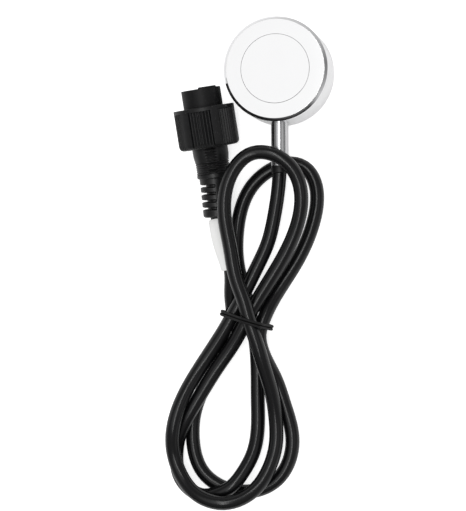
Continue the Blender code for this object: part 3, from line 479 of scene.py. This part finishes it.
def apart(angle, middle):
    """The distance between two angles, the short way round."""
    return abs((angle - middle + math.pi) % math.tau - math.pi)


def set_radius(vert, radius):
    reach = math.hypot(vert.co.x, vert.co.y)
    vert.co.x *= radius / reach
    vert.co.y *= radius / reach


# The plug's own axes: local Z runs from the mouth to the boot, local Y is the top

def plug_matrix():
    along = Vector(NUT_JOINT["axis"]).normalized()
    top = (Vector((0, 0, 1)) - along * along.z).normalized()
    side = top.cross(along)
    mouth = Vector(NUT_JOINT["pos_m"]) - along * NUT_MIDDLE
    return Matrix.Translation(mouth) @ Matrix((side, top, along)).transposed().to_4x4()


def boot_axis_point(boot, s):
    """The boot's axis in the plug's own axes: straight, then a gentle bend, then straight."""
    span = boot.bend_end - boot.bend_start
    radius = span / boot.bend
    bent = min(max(s - boot.bend_start, 0.0), span) / radius
    rest = max(s - boot.bend_end, 0.0)
    x = -radius * (1 - math.cos(bent)) - rest * math.sin(bent)
    z = min(s, boot.bend_start) + radius * math.sin(bent) + rest * math.cos(bent)
    return Vector((x, 0.0, z)), bent


# The cable's course

def smooth_curve(knots, samples):
    """Points on the natural cubic spline through the knots, and their distance along it."""
    knots = np.array(knots, float)
    span = np.linalg.norm(np.diff(knots, axis=0), axis=1)
    t = np.concatenate(([0.0], np.cumsum(span)))
    n = len(knots)
    left = np.eye(n)
    right = np.zeros((n, 3))
    for i in range(1, n - 1):
        left[i, i - 1:i + 2] = span[i - 1], 2 * (span[i - 1] + span[i]), span[i]
        right[i] = 6 * ((knots[i + 1] - knots[i]) / span[i] - (knots[i] - knots[i - 1]) / span[i - 1])
    bend = np.linalg.solve(left, right)
    u = np.linspace(0.0, t[-1], samples)
    i = np.clip(np.searchsorted(t, u) - 1, 0, n - 2)
    h = span[i][:, None]
    a = (t[i + 1] - u)[:, None]
    b = (u - t[i])[:, None]
    points = (bend[i] * a ** 3 + bend[i + 1] * b ** 3) / (6 * h)
    points += (knots[i] / h - bend[i] * h / 6) * a + (knots[i + 1] / h - bend[i + 1] * h / 6) * b
    along = np.concatenate(([0.0], np.cumsum(np.linalg.norm(np.diff(points, axis=0), axis=1))))
    return points, along


def points_at(points, along, distances):
    return np.stack([np.interp(distances, along, points[:, k]) for k in range(3)], axis=1)


def cable_course(settings):
    """The cable's fine course, its distances, and the distance at which it enters the boot."""
    boot = settings.boot
    place = plug_matrix()
    bend_middle = (boot.bend_start + boot.bend_end) / 2
    tail_middle = (boot.bend_end + boot.end) / 2
    inside = [tuple(place @ boot_axis_point(boot, s)[0])
              for s in (boot.end, tail_middle, boot.bend_end, bend_middle, DETAIL["sheath end"])]
    start = (0.0, -settings.cable.start, (STEM_LOW.z + STEM_HIGH.z) / 2)
    points, along = smooth_curve([start, *CABLE_ROUTE, *inside], 6000)
    boot_end = along[np.argmin(np.linalg.norm(points - np.array(inside[0]), axis=1))]
    return points, along, boot_end


# Pieces

class SENSOR_OT_head(bpy.types.Operator):
    """Build the steel head: its turned housing, sensing window and rear cover"""
    bl_idname = "sensor.head"
    bl_label = "Head"

    def execute(self, context):
        head = context.scene.sensor_settings.head
        polished = steel_material("Polished steel", head.steel, roughness=0.07, spread=0.02, ring=0.0004,
                                  height=0.000002)
        satin = steel_material("Satin steel", head.satin, roughness=0.1, metallic=0.7)
        seam = grained_material("Seam", (0.02, 0.02, 0.02), roughness=0.8)
        radius = head.diameter / 2
        bore = head.bore / 2
        hole = head.window / 2 + head.hairline / 2
        ledge = head.window / 2 - head.hairline
        floor = head.height - DETAIL["hairline depth"]
        shell = turned(soften([
            (bore, 0.0, 0.0), (radius - head.rear_edge, 0.0, ROUND["housing"]),
            (radius, head.rear_edge, ROUND["housing"]), (radius, head.height - head.rim_height, ROUND["rim"]),
            (radius - head.rim, head.height, ROUND["rim"]), (hole, head.height, 0.0),
            (hole, floor, 0.0), (ledge, floor, 0.0),
            (ledge, floor - DETAIL["ledge"], 0.0), (bore, floor - DETAIL["ledge"], 0.0),
        ], closed=True), 192, closed=True)
        for face in shell.faces:
            middle = face.calc_center_median()
            if math.hypot(middle.x, middle.y) < hole + NEAR and middle.z > floor - NEAR:
                face.material_index = 2
            elif middle.z > head.height - NEAR and face.normal.z > 0.9:
                face.material_index = 1
        finish_piece("head_shell", shell, [polished, satin, seam], "sensor",
                     ["head_housing"])
        rim = head.window / 2 - head.hairline / 2
        top = head.height + head.window_lift
        window = turned([
            (0.0, floor), (rim, floor), (rim, top - head.hairline_edge), (rim - head.hairline_edge, top),
            (0.0, top),
        ], 192)
        for face in window.faces:
            face.material_index = 1 if abs(face.normal.z) < 0.9 else 0
        finish_piece("window_disc", window, [satin, polished], "sensor", ["sensing_window"])
        edge = head.cover / 2
        plate = turned(soften([
            (0.0, 0.0, 0.0), (edge, 0.0, ROUND["cover"]), (edge, COVER_HIGH.z, 0.0),
            (0.0, COVER_HIGH.z, 0.0),
        ]), 192)
        finish_piece("cover_plate", plate, [satin], "sensor", ["rear_cover"])
        return {"FINISHED"}


class SENSOR_OT_stem(bpy.types.Operator):
    """Build the steel stem that the cable comes out of, with the gland's collar at its mouth"""
    bl_idname = "sensor.stem"
    bl_label = "Stem"

    def execute(self, context):
        settings = context.scene.sensor_settings
        stem = settings.stem
        # The head's steel, darkened as painted shade on the stem's reflections
        steel = steel_material("Shaded stem steel", settings.head.stem, roughness=0.2, spread=0.02, ring=0.0006)
        radius = stem.diameter / 2
        tube = turned(soften([
            (stem.bore / 2, -STEM_HIGH.y, 0.0), (radius, -STEM_HIGH.y, 0.0),
            (radius, -STEM_LOW.y, stem.edge), (stem.bore / 2, -STEM_LOW.y, stem.edge),
        ], closed=True), 128, closed=True)
        middle = (STEM_LOW.z + STEM_HIGH.z) / 2
        place = Matrix.Translation((0.0, 0.0, middle)) @ Matrix.Rotation(math.radians(90), 4, "X")
        finish_piece("stem", tube, [steel], "sensor", ["stem_tube"], place)
        rubber = grained_material("Collar rubber", settings.cable.sheath, roughness=0.45, grain=0.0005,
                                  height=0.00002, specular=0.4)
        collar_end = -STEM_LOW.y + stem.collar_length
        collar = turned(soften([
            (stem.collar_bore / 2, -STEM_LOW.y, 0.0), (stem.collar / 2, -STEM_LOW.y, 0.0),
            (stem.collar / 2, collar_end, ROUND["stem collar"]),
            (stem.collar_bore / 2, collar_end, ROUND["collar lip"]),
        ], closed=True), 96, closed=True)
        finish_piece("gland_collar", collar, [rubber], "sensor", [], place)
        return {"FINISHED"}


class SENSOR_OT_cable(bpy.types.Operator):
    """Lay the bundled cable along its route, from inside the stem to inside the boot"""
    bl_idname = "sensor.cable"
    bl_label = "Cable"

    def execute(self, context):
        settings = context.scene.sensor_settings
        cable = settings.cable
        points, along, _ = cable_course(settings)
        sheath = grained_material("Cable sheath", cable.sheath, roughness=0.24, spread=0.0, height=0.0,
                                  specular=0.36, tone=0.25, patch=0.02)
        curve = bpy.data.curves.new("cable_sheath", "CURVE")
        curve.dimensions = "3D"
        curve.fill_mode = "FULL"
        curve.bevel_depth = cable.diameter / 2
        curve.bevel_resolution = 8
        curve.use_fill_caps = True
        course = points_at(points, along, np.linspace(0.0, along[-1], cable.points))
        spline = curve.splines.new("POLY")
        spline.points.add(len(course) - 1)
        for spot, point in zip(spline.points, course):
            spot.co = (*point, 1.0)
        spline.use_smooth = True
        curve.materials.append(sheath)
        declare_piece("cable_sheath", curve, "sensor", ["cable"])
        return {"FINISHED"}


class SENSOR_OT_sleeve(bpy.types.Operator):
    """Build the white sleeve on the cable"""
    bl_idname = "sensor.sleeve"
    bl_label = "Sleeve"

    def execute(self, context):
        settings = context.scene.sensor_settings
        cable = settings.cable
        points, along, boot_end = cable_course(settings)
        white = grained_material("Sleeve white", cable.sleeve, roughness=0.5, tone=0.06)
        last = boot_end - cable.sleeve_offset
        stations = points_at(points, along, np.linspace(last - cable.sleeve_length, last, 24))
        directions = np.gradient(stations, axis=0)
        outer = cable.sleeve_diameter / 2
        inner = outer - cable.sleeve_wall
        bm = bmesh.new()
        loops = []
        order = list(range(len(stations)))
        walls = [(i, outer - (ROUND["sleeve"] if i in (0, order[-1]) else 0.0)) for i in order]
        walls += [(i, inner) for i in reversed(order)]
        for i, radius in walls:
            turn_to = Vector(directions[i]).to_track_quat("Z", "Y").to_matrix().to_4x4()
            ring = bmesh.ops.create_circle(bm, cap_ends=False, radius=radius, segments=48,
                                           matrix=Matrix.Translation(stations[i]) @ turn_to)
            loops.append(list({edge for vert in ring["verts"] for edge in vert.link_edges}))
        for low, high in zip(loops, loops[1:] + loops[:1]):
            bmesh.ops.bridge_loops(bm, edges=low + high)
        bmesh.ops.recalc_face_normals(bm, faces=bm.faces)
        finish_piece("white_sleeve", bm, [white], "sensor", ["cable_sleeve"])
        return {"FINISHED"}


class SENSOR_OT_tie(bpy.types.Operator):
    """Build the elastic tie that holds the bundle together"""
    bl_idname = "sensor.tie"
    bl_label = "Tie"

    def execute(self, context):
        cable = context.scene.sensor_settings.cable
        woven = grained_material("Woven elastic", cable.tie, roughness=0.65, spread=0.15, grain=0.00035,
                                 height=0.00012, specular=0.3, tone=0.6, patch=0.0012)
        # Painted shade: a near-black material laid along the crease between the tie's two turns
        crease_shade = grained_material("Painted shade in the crease between the turns", (0.001, 0.001, 0.001), roughness=0.9,
                                spread=0.05, specular=0.1)
        bm = bmesh.new()
        bm.from_mesh(frame["nodes"]["elastic_tie"].data)
        bmesh.ops.remove_doubles(bm, verts=bm.verts, dist=1e-6)
        bmesh.ops.join_triangles(bm, faces=bm.faces, angle_face_threshold=math.radians(40),
                                 angle_shape_threshold=math.radians(60))
        middle = sum((vert.co for vert in bm.verts), Vector()) / len(bm.verts)
        waist = [edge for edge in bm.edges if edge.calc_length() > TIE_WAIST
                 and all(abs((vert.co - middle).dot(TIE_OFFSET)) < TIE_WAIST for vert in edge.verts)
                 and abs((edge.verts[1].co - edge.verts[0].co).dot(TIE_OFFSET)) > TIE_WAIST]
        cut = bmesh.ops.subdivide_edges(bm, edges=waist, cuts=3, use_grid_fill=True)
        bm.normal_update()
        groove = [item for item in cut["geom_inner"] if isinstance(item, bmesh.types.BMVert)]
        inward = {vert: -vert.normal.copy() for vert in groove}
        for vert in groove:
            deep = 1.0 - abs((vert.co - middle).dot(TIE_OFFSET)) / TIE_EDGE
            vert.co += inward[vert] * cable.tie_groove * deep
        # Faces along the crease between the turns get the painted shade
        for face in bm.faces:
            if abs((face.calc_center_median() - middle).dot(TIE_OFFSET)) < TIE_SHADE_HALF_WIDTH:
                face.material_index = 1
        piece = finish_piece("woven_tie", bm, [woven, crease_shade], "sensor", ["elastic_tie"])
        rounding = piece.modifiers.new("rounding", "SUBSURF")
        rounding.levels = 2
        rounding.render_levels = 2
        return {"FINISHED"}


class SENSOR_OT_barrel(bpy.types.Operator):
    """Build the plug's barrel with its lug, and finish the insert and contacts inside it"""
    bl_idname = "sensor.barrel"
    bl_label = "Barrel"

    def execute(self, context):
        plug = context.scene.sensor_settings.plug
        plastic = grained_material("Barrel plastic", plug.plastic, roughness=0.5, spread=0.15, grain=0.0005,
                                   height=0.00006, specular=0.22, tone=0.7, specks=0.06, patch=0.002)
        radius = plug.barrel / 2
        bore = radius - plug.barrel_wall
        flange = plug.flange / 2
        flange_end = plug.flange_start + plug.flange_width
        tail = plug.tail / 2
        tail_bore = tail - plug.barrel_wall
        soft = ROUND["barrel"]
        mouth, tail_end, insert_end = (DETAIL[key] for key in ("mouth", "tail end", "insert end"))
        barrel = turned(soften([
            (bore, 0.0, ROUND["mouth"]), (radius, 0.0, soft), (radius, mouth, 0.0),
            (radius, plug.flange_start, 0.0), (flange, plug.flange_start, soft),
            (flange, flange_end, soft), (tail, flange_end, 0.0), (tail, tail_end, 0.0),
            (tail_bore, tail_end, 0.0), (tail_bore, insert_end, 0.0),
            (bore, insert_end, 0.0), (bore, mouth, 0.0),
        ], closed=True), 240, closed=True)
        rim = [vert for vert in barrel.verts if vert.co.z < mouth / 2
               and apart(around(vert), plug.lug_middle) < plug.lug_span / 2]
        bmesh.ops.translate(barrel, vec=(0.0, 0.0, -plug.lug), verts=rim)
        finish_piece("barrel", barrel, [plastic], "sensor", ["plug_barrel"], plug_matrix())
        brass = steel_material("Contact brass", (0.85, 0.66, 0.32), roughness=0.28, spread=0.06,
                               height=0.000002)
        for index in range(1, 5):
            dress_node(f"contact_{index}", brass)
        dress_node("contact_insert", plastic)
        return {"FINISHED"}


class SENSOR_OT_nut(bpy.types.Operator):
    """Build the coupling nut with its ribbed panels between smooth bands"""
    bl_idname = "sensor.nut"
    bl_label = "Coupling nut"

    def execute(self, context):
        settings = context.scene.sensor_settings
        nut = settings.nut
        plastic = grained_material("Nut plastic", settings.plug.plastic, roughness=0.42, grain=0.0005,
                                   height=0.00003, specular=0.3, tone=0.35, specks=0.1, patch=0.004)
        radius = nut.diameter / 2
        cavity = radius - nut.wall
        end = nut.start + nut.length
        inner_end = end - nut.rear_wall
        panel_start = nut.start + nut.rim
        panel_end = end - nut.shoulder
        front = soften([(cavity, nut.start, 0.0), (radius, nut.start, ROUND["nut"]),
                        (radius, panel_start, 0.0)])
        lengths = np.concatenate((      # two rings on the step, then even ones along the panels
            panel_start + np.array((0.08, 0.2)) * MM,
            np.linspace(panel_start + 0.5 * MM, panel_end - 0.4 * MM, 14)))
        rear = soften([(radius, panel_end - 0.2 * MM, 0.0), (radius, end, nut.shoulder),
                       (nut.bore / 2, end, 0.0)], segments=14)
        inside = [(nut.bore / 2, inner_end), (cavity, inner_end)]
        profile = front + [(radius, s) for s in lengths] + rear + inside
        bm = turned(profile, 504, closed=True)
        pitch = math.tau / nut.panels
        half = nut.panel_span / 2
        for vert in bm.verts:
            reach = math.hypot(vert.co.x, vert.co.y)
            if reach < radius - nut.shoulder * 0.75 or vert.co.z < panel_start:
                continue
            angle = around(vert)
            offset = (angle + pitch / 2) % pitch - pitch / 2
            share = (offset + half) / nut.panel_span
            on_panel = 1.0 - smooth_step(abs(offset), half - PANEL_SIDE, half + PANEL_SIDE)
            into = smooth_step(vert.co.z, panel_start, panel_start + DETAIL["panel slope"])
            fade = 1.0 - smooth_step(vert.co.z, end - 0.7 * nut.shoulder, end - 0.05 * MM)
            groove = (0.5 + 0.5 * math.cos(math.tau * share * nut.ribs)) ** 1.3
            depth = nut.panel_depth + nut.rib_depth * groove
            set_radius(vert, reach - depth * on_panel * into * fade)
        finish_piece("ribbed_nut", bm, [plastic], "nut", ["coupling_nut"], plug_matrix())
        return {"FINISHED"}


class SENSOR_OT_boot(bpy.types.Operator):
    """Build the boot: its grip, fine rings, collar and slotted strain relief"""
    bl_idname = "sensor.boot"
    bl_label = "Boot"

    def execute(self, context):
        settings = context.scene.sensor_settings
        boot = settings.boot
        plug = settings.plug
        plastic = grained_material("Boot plastic", plug.plastic, roughness=0.36, spread=0.12, grain=0.0006,
                                   height=0.00003, specular=0.4, tone=0.4, specks=0.05, patch=0.003)
        start = plug.flange_start + plug.flange_width + SEAT_GAP
        cavity = plug.tail / 2 + SEAT_GAP
        lengths = np.concatenate((      # close enough together for the fine ribs, rings and slots
            np.linspace(start, boot.rings_start, 96)[:-1],
            np.arange(boot.rings_start, boot.end - NEAR, 0.13 * MM), [boot.end]))
        outer = [(self.outside(boot, s), s) for s in lengths]
        bore = boot.bore / 2
        seat_end = DETAIL["tail seat end"]
        inner = [(bore, s) for s in np.linspace(boot.end, seat_end, 24)]
        profile = outer + inner + [(cavity, seat_end), (cavity, start)]
        bm = turned(profile, 180, closed=True)
        for vert in bm.verts:
            if math.hypot(vert.co.x, vert.co.y) > cavity or vert.co.z > seat_end + NEAR:
                self.carve(boot, vert, bore)
        for vert in bm.verts:
            centre, bent = boot_axis_point(boot, vert.co.z)
            vert.co = centre + Vector((vert.co.x * math.cos(bent), vert.co.y, vert.co.x * math.sin(bent)))
        finish_piece("boot", bm, [plastic], "sensor", ["plug_boot"], plug_matrix())
        return {"FINISHED"}

    def outside(self, boot, s):
        """The boot's outer radius, without its slots, at a distance from the mouth."""
        if s < boot.rings_start:
            share = smooth_step(s, boot.rings_start - DETAIL["boot taper"], boot.rings_start)
            return (boot.diameter + (boot.waist - boot.diameter) * share) / 2
        if s < boot.relief_start:
            radius = boot.waist / 2
            if s < boot.collar_start:
                pitch = (boot.collar_start - boot.rings_start) / boot.rings
                share = ((s - boot.rings_start) / pitch) % 1.0
                radius -= boot.ring_depth * (0.5 + 0.5 * math.cos(math.tau * share)) ** 2
            edge = ROUND["boot collar"]
            return radius - edge * smooth_step(s, boot.relief_start - edge, boot.relief_start)
        share = (s - boot.relief_start) / (boot.end - boot.relief_start)
        radius = (boot.relief + (boot.relief_end - boot.relief) * share) / 2
        return radius - ROUND["boot end"] * smooth_step(s, boot.end - ROUND["boot end"], boot.end)

    def carve(self, boot, vert, bore):
        """Press the grip's fine ribs and the relief's slots into one vertex of the outside."""
        s = vert.co.z
        angle = around(vert)
        reach = math.hypot(vert.co.x, vert.co.y)
        if reach <= bore + NEAR:
            return
        if s < boot.collar_start:
            on_strip = 1.0 - smooth_step(apart(angle, boot.strip_middle), boot.strip_span * 0.3,
                                         boot.strip_span * 0.6)
            rib = 0.5 + 0.5 * math.cos(math.tau * s / boot.strip_pitch)
            set_radius(vert, reach + boot.strip_depth * on_strip * (0.5 - rib))
            return
        first = boot.first_slot
        core = (boot.core + (boot.core_end - boot.core) * (s - first) / (boot.end - first)) / 2
        reach_in = 0.0
        ring = (boot.slot_pitch - boot.slot_width) / 2
        for k in range(boot.slots):
            beside = abs(s - first - k * boot.slot_pitch - boot.slot_width / 2) - boot.slot_width / 2
            out = min(max(1.0 - beside / ring, 0.0), 1.0)
            reach_in = max(reach_in, 1.0 - math.sqrt(1.0 - out ** 9))       # rings with rounded edges
        web = min(apart(angle, boot.web_middle), apart(angle, boot.web_middle + math.pi))
        clear = smooth_step(web, boot.web_span / 2 - math.radians(1), boot.web_span / 2 + math.radians(4))
        set_radius(vert, reach + (core - reach) * reach_in * clear)


def dress_node(name, material):
    """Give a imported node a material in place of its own."""
    node = frame["nodes"][name]
    node.data.materials.clear()
    node.data.materials.append(material)


class SENSOR_OT_inside(bpy.types.Operator):
    """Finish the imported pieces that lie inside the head, the stem and the plug"""
    bl_idname = "sensor.inside"
    bl_label = "Inner pieces"

    def execute(self, context):
        finishes = {
            "Piezo ceramic": ((0.62, 0.58, 0.50), 0.6, ("piezo_disc",)),
            "Backing epoxy": ((0.10, 0.09, 0.08), 0.6, ("backing_block",)),
            "Seal rubber": ((0.03, 0.03, 0.03), 0.75, ("cover_seal", "stem_gland", "plug_seal_ring")),
            "Board laminate": ((0.05, 0.22, 0.10), 0.5, ("circuit_board",)),
            "Chip resin": ((0.02, 0.02, 0.02), 0.5, ("driver_chip",)),
            "Capacitor can": ((0.7, 0.7, 0.72), 0.35, ("filter_capacitor",)),
            "Header nylon": ((0.85, 0.84, 0.78), 0.5, ("core_header",)),
            "Core insulation": ((0.55, 0.10, 0.08), 0.45, (
                "piezo_lead_1", "piezo_lead_2", *(f"core_wire_{i}" for i in range(1, 5)),
                *(f"plug_core_{i}" for i in range(1, 5)))),
        }
        for name, (tint, roughness, nodes) in finishes.items():
            material = grained_material(name, tint, roughness)
            for node in nodes:
                dress_node(node, material)
        return {"FINISHED"}


class SENSOR_OT_cords(bpy.types.Operator):
    bl_idname = "sensor.cords"
    bl_label = "Cord"

    def execute(self, context):
        settings = context.scene.sensor_settings
        along = cable_course(settings)[1]
        on_it = ["white_sleeve", "woven_tie", "barrel", "ribbed_nut", "boot", "contact_insert",
                 "plug_seal_ring"]
        on_it += [f"{kind}_{i}" for kind in ("contact", "plug_core") for i in range(1, 5)]
        return {"FINISHED"}


# Stage

def camera_matrix(stage):
    target = Vector(stage.target)
    towards = Vector((math.tan(stage.aside), -math.tan(stage.below), 1.0)).normalized()
    ahead = -towards
    right = ahead.cross(Vector((0, 1, 0))).normalized()
    up = right.cross(ahead)
    across = right * math.cos(stage.roll) + up * math.sin(stage.roll)
    upright = up * math.cos(stage.roll) - right * math.sin(stage.roll)
    turned_to = Matrix((across, upright, -ahead)).transposed().to_4x4()
    return Matrix.Translation(target + towards * stage.distance) @ turned_to


PAPER_GLOW = 0.7                # what the paper adds to its light, where the camera sees it
PAPER_REFLECTED = 0.16          # and where the steel reflects it


def paper_material(tint):
    """Paper that glows to the camera, less so in reflections, and keeps the object's soft shadow."""
    material, tree, shader, place = new_material("Stage paper", specular=0.0)
    link_tone(tree, shader, place, tint, 0.3, 0.01)
    shader.inputs["Roughness"].default_value = 1.0
    rays = put(tree, "ShaderNodeLightPath").outputs
    seen = maths(tree, "ADD", maths(tree, "MULTIPLY", rays["Is Camera Ray"], PAPER_GLOW),
                 maths(tree, "MULTIPLY", rays["Is Glossy Ray"], PAPER_REFLECTED), clamp=True)
    shader.inputs["Emission Color"].default_value = (1.0, 1.0, 1.0, 1.0)
    tree.links.new(seen, shader.inputs["Emission Strength"])
    return material


# What shows in polished steel low down round the studio: degrees from +X, and the level there
HORIZON = ((-180, 0.45), (-160, 0.4), (-152, 0.01), (-50, 0.01), (-38, 0.5), (-30, 0.7), (0, 0.27),
           (15, 0.22), (45, 0.5), (90, 0.7), (180, 0.45))
HORIZON_TOP = (0.2, 0.5)        # heights between which the horizon fades into the ceiling
CEILING = 0.28                  # the level shown overhead, without the panels
ROOM_LIGHT = 0.75               # what falls on everything that isn't polished
# Panels overhead: the way to each, the cosines at its edge and where it is full, and its level
SOFT_PANELS = (((-0.19, 0.045, 0.98), 0.87, 0.985, 0.72), ((0.72, 0.0, 0.69), 0.95, 0.99, 0.35))


def studio_world():
    """Even light on everything, and soft panels, dark walls and a horizon in the reflections."""
    world = bpy.data.worlds.new("Studio")
    world.use_nodes = True
    tree = world.node_tree
    background = tree.nodes["Background"]
    way = put(tree, "ShaderNodeTexCoord").outputs["Generated"]
    part = put(tree, "ShaderNodeSeparateXYZ", {0: way})
    azimuth = maths(tree, "ARCTAN2", part.outputs["Y"], part.outputs["X"])
    place = maths(tree, "ADD", maths(tree, "DIVIDE", azimuth, math.tau), 0.5)
    ramp = put(tree, "ShaderNodeValToRGB", {"Fac": place})
    stops = ramp.color_ramp.elements
    for stop, (degrees, level) in zip([stops[0], stops[1]] + [stops.new(0.5) for _ in HORIZON[2:]],
                                      [HORIZON[0], HORIZON[-1], *HORIZON[1:-1]]):
        stop.position = degrees / 360 + 0.5
        stop.color = (level, level, level, 1.0)
    rise = put(tree, "ShaderNodeMapRange", {
        "Value": part.outputs["Z"], "From Min": HORIZON_TOP[0], "From Max": HORIZON_TOP[1]},
        interpolation_type="SMOOTHSTEP")
    shown = put(tree, "ShaderNodeMix", {
        0: rise.outputs["Result"], 2: ramp.outputs["Color"], 3: CEILING}).outputs[0]
    for direction, edge, full, level in SOFT_PANELS:
        facing = put(tree, "ShaderNodeVectorMath", {0: way, 1: direction}, operation="DOT_PRODUCT")
        panel = put(tree, "ShaderNodeMapRange", {
            "Value": facing.outputs["Value"], "From Min": edge, "From Max": full, "To Max": level},
            interpolation_type="SMOOTHSTEP")
        shown = maths(tree, "ADD", shown, panel.outputs["Result"])
    rays = put(tree, "ShaderNodeLightPath").outputs
    lit = put(tree, "ShaderNodeMix", {0: rays["Is Glossy Ray"], 2: ROOM_LIGHT, 3: shown}).outputs[0]
    level = put(tree, "ShaderNodeMix", {0: rays["Is Camera Ray"], 2: lit, 3: 1.0})
    tree.links.new(level.outputs[0], background.inputs["Strength"])
    background.inputs["Color"].default_value = (1.0, 1.0, 1.0, 1.0)
    return world


def soft_lamp(place, width, length, power):
    """A long soft lamp that faces straight down."""
    light = bpy.data.lights.new("Strip", "AREA")
    light.shape = "RECTANGLE"
    light.size = width
    light.size_y = length
    light.energy = power
    lamp = bpy.data.objects.new("Strip", light)
    lamp.location = place
    lamp.rotation_euler = Vector((0, 0, 1)).to_track_quat("Z", "Y").to_euler()
    bpy.context.scene.collection.objects.link(lamp)


class SENSOR_OT_stage(bpy.types.Operator):
    """Set up the camera, the paper floor, the world and the soft lamp"""
    bl_idname = "sensor.stage"
    bl_label = "Stage"

    def execute(self, context):
        scene = context.scene
        stage = scene.sensor_settings.stage
        camera = bpy.data.cameras.new("Camera")
        camera.lens = stage.lens
        camera.clip_start = 0.05
        camera.clip_end = 20.0
        viewer = bpy.data.objects.new("Camera", camera)
        viewer.matrix_world = camera_matrix(stage)
        scene.collection.objects.link(viewer)
        scene.camera = viewer
        floor = bmesh.new()
        bmesh.ops.create_grid(floor, x_segments=4, y_segments=4, size=stage.floor / 2)
        bmesh.ops.translate(floor, vec=(0.0, 0.0, -FLOOR_DROP), verts=floor.verts)
        mesh = bpy.data.meshes.new("paper_floor")
        floor.to_mesh(mesh)
        floor.free()
        mesh.materials.append(paper_material(stage.paper))
        paper = bpy.data.objects.new("paper_floor", mesh)
        scene.collection.objects.link(paper)
        scene.world = studio_world()
        scene.view_settings.view_transform = "Standard"
        soft_lamp(place=(0.09, -0.09, 1.15), width=0.14, length=1.2, power=4.2)
        return {"FINISHED"}


OPERATORS = [
    SENSOR_OT_stage, SENSOR_OT_head, SENSOR_OT_stem, SENSOR_OT_cable, SENSOR_OT_sleeve, SENSOR_OT_tie,
    SENSOR_OT_barrel, SENSOR_OT_nut, SENSOR_OT_boot, SENSOR_OT_inside, SENSOR_OT_cords,
]


class SENSOR_PT_panel(bpy.types.Panel):
    """Lists the sensor's pieces and their settings"""
    bl_idname = "SENSOR_PT_panel"
    bl_label = "Tank sensor"
    bl_space_type = "VIEW_3D"
    bl_region_type = "UI"
    bl_category = "Sensor"

    def draw(self, context):
        for operator in OPERATORS:
            self.layout.operator(operator.bl_idname)
        for name, group in SETTINGS.items():
            box = self.layout.box()
            box.label(text=name.title())
            for key in group.__annotations__:
                box.prop(getattr(context.scene.sensor_settings, name), key)


CLASSES = [*SETTINGS.values(), SensorSettings, *OPERATORS, SENSOR_PT_panel]


def register():
    for cls in CLASSES:
        bpy.utils.register_class(cls)
    bpy.types.Scene.sensor_settings = PointerProperty(type=SensorSettings)


def unregister():
    del bpy.types.Scene.sensor_settings
    for cls in reversed(CLASSES):
        bpy.utils.unregister_class(cls)


def main():
    register()
    for operator in OPERATORS:
        getattr(bpy.ops.sensor, operator.bl_idname.removeprefix("sensor."))()


if __name__ == "__main__":
    main()
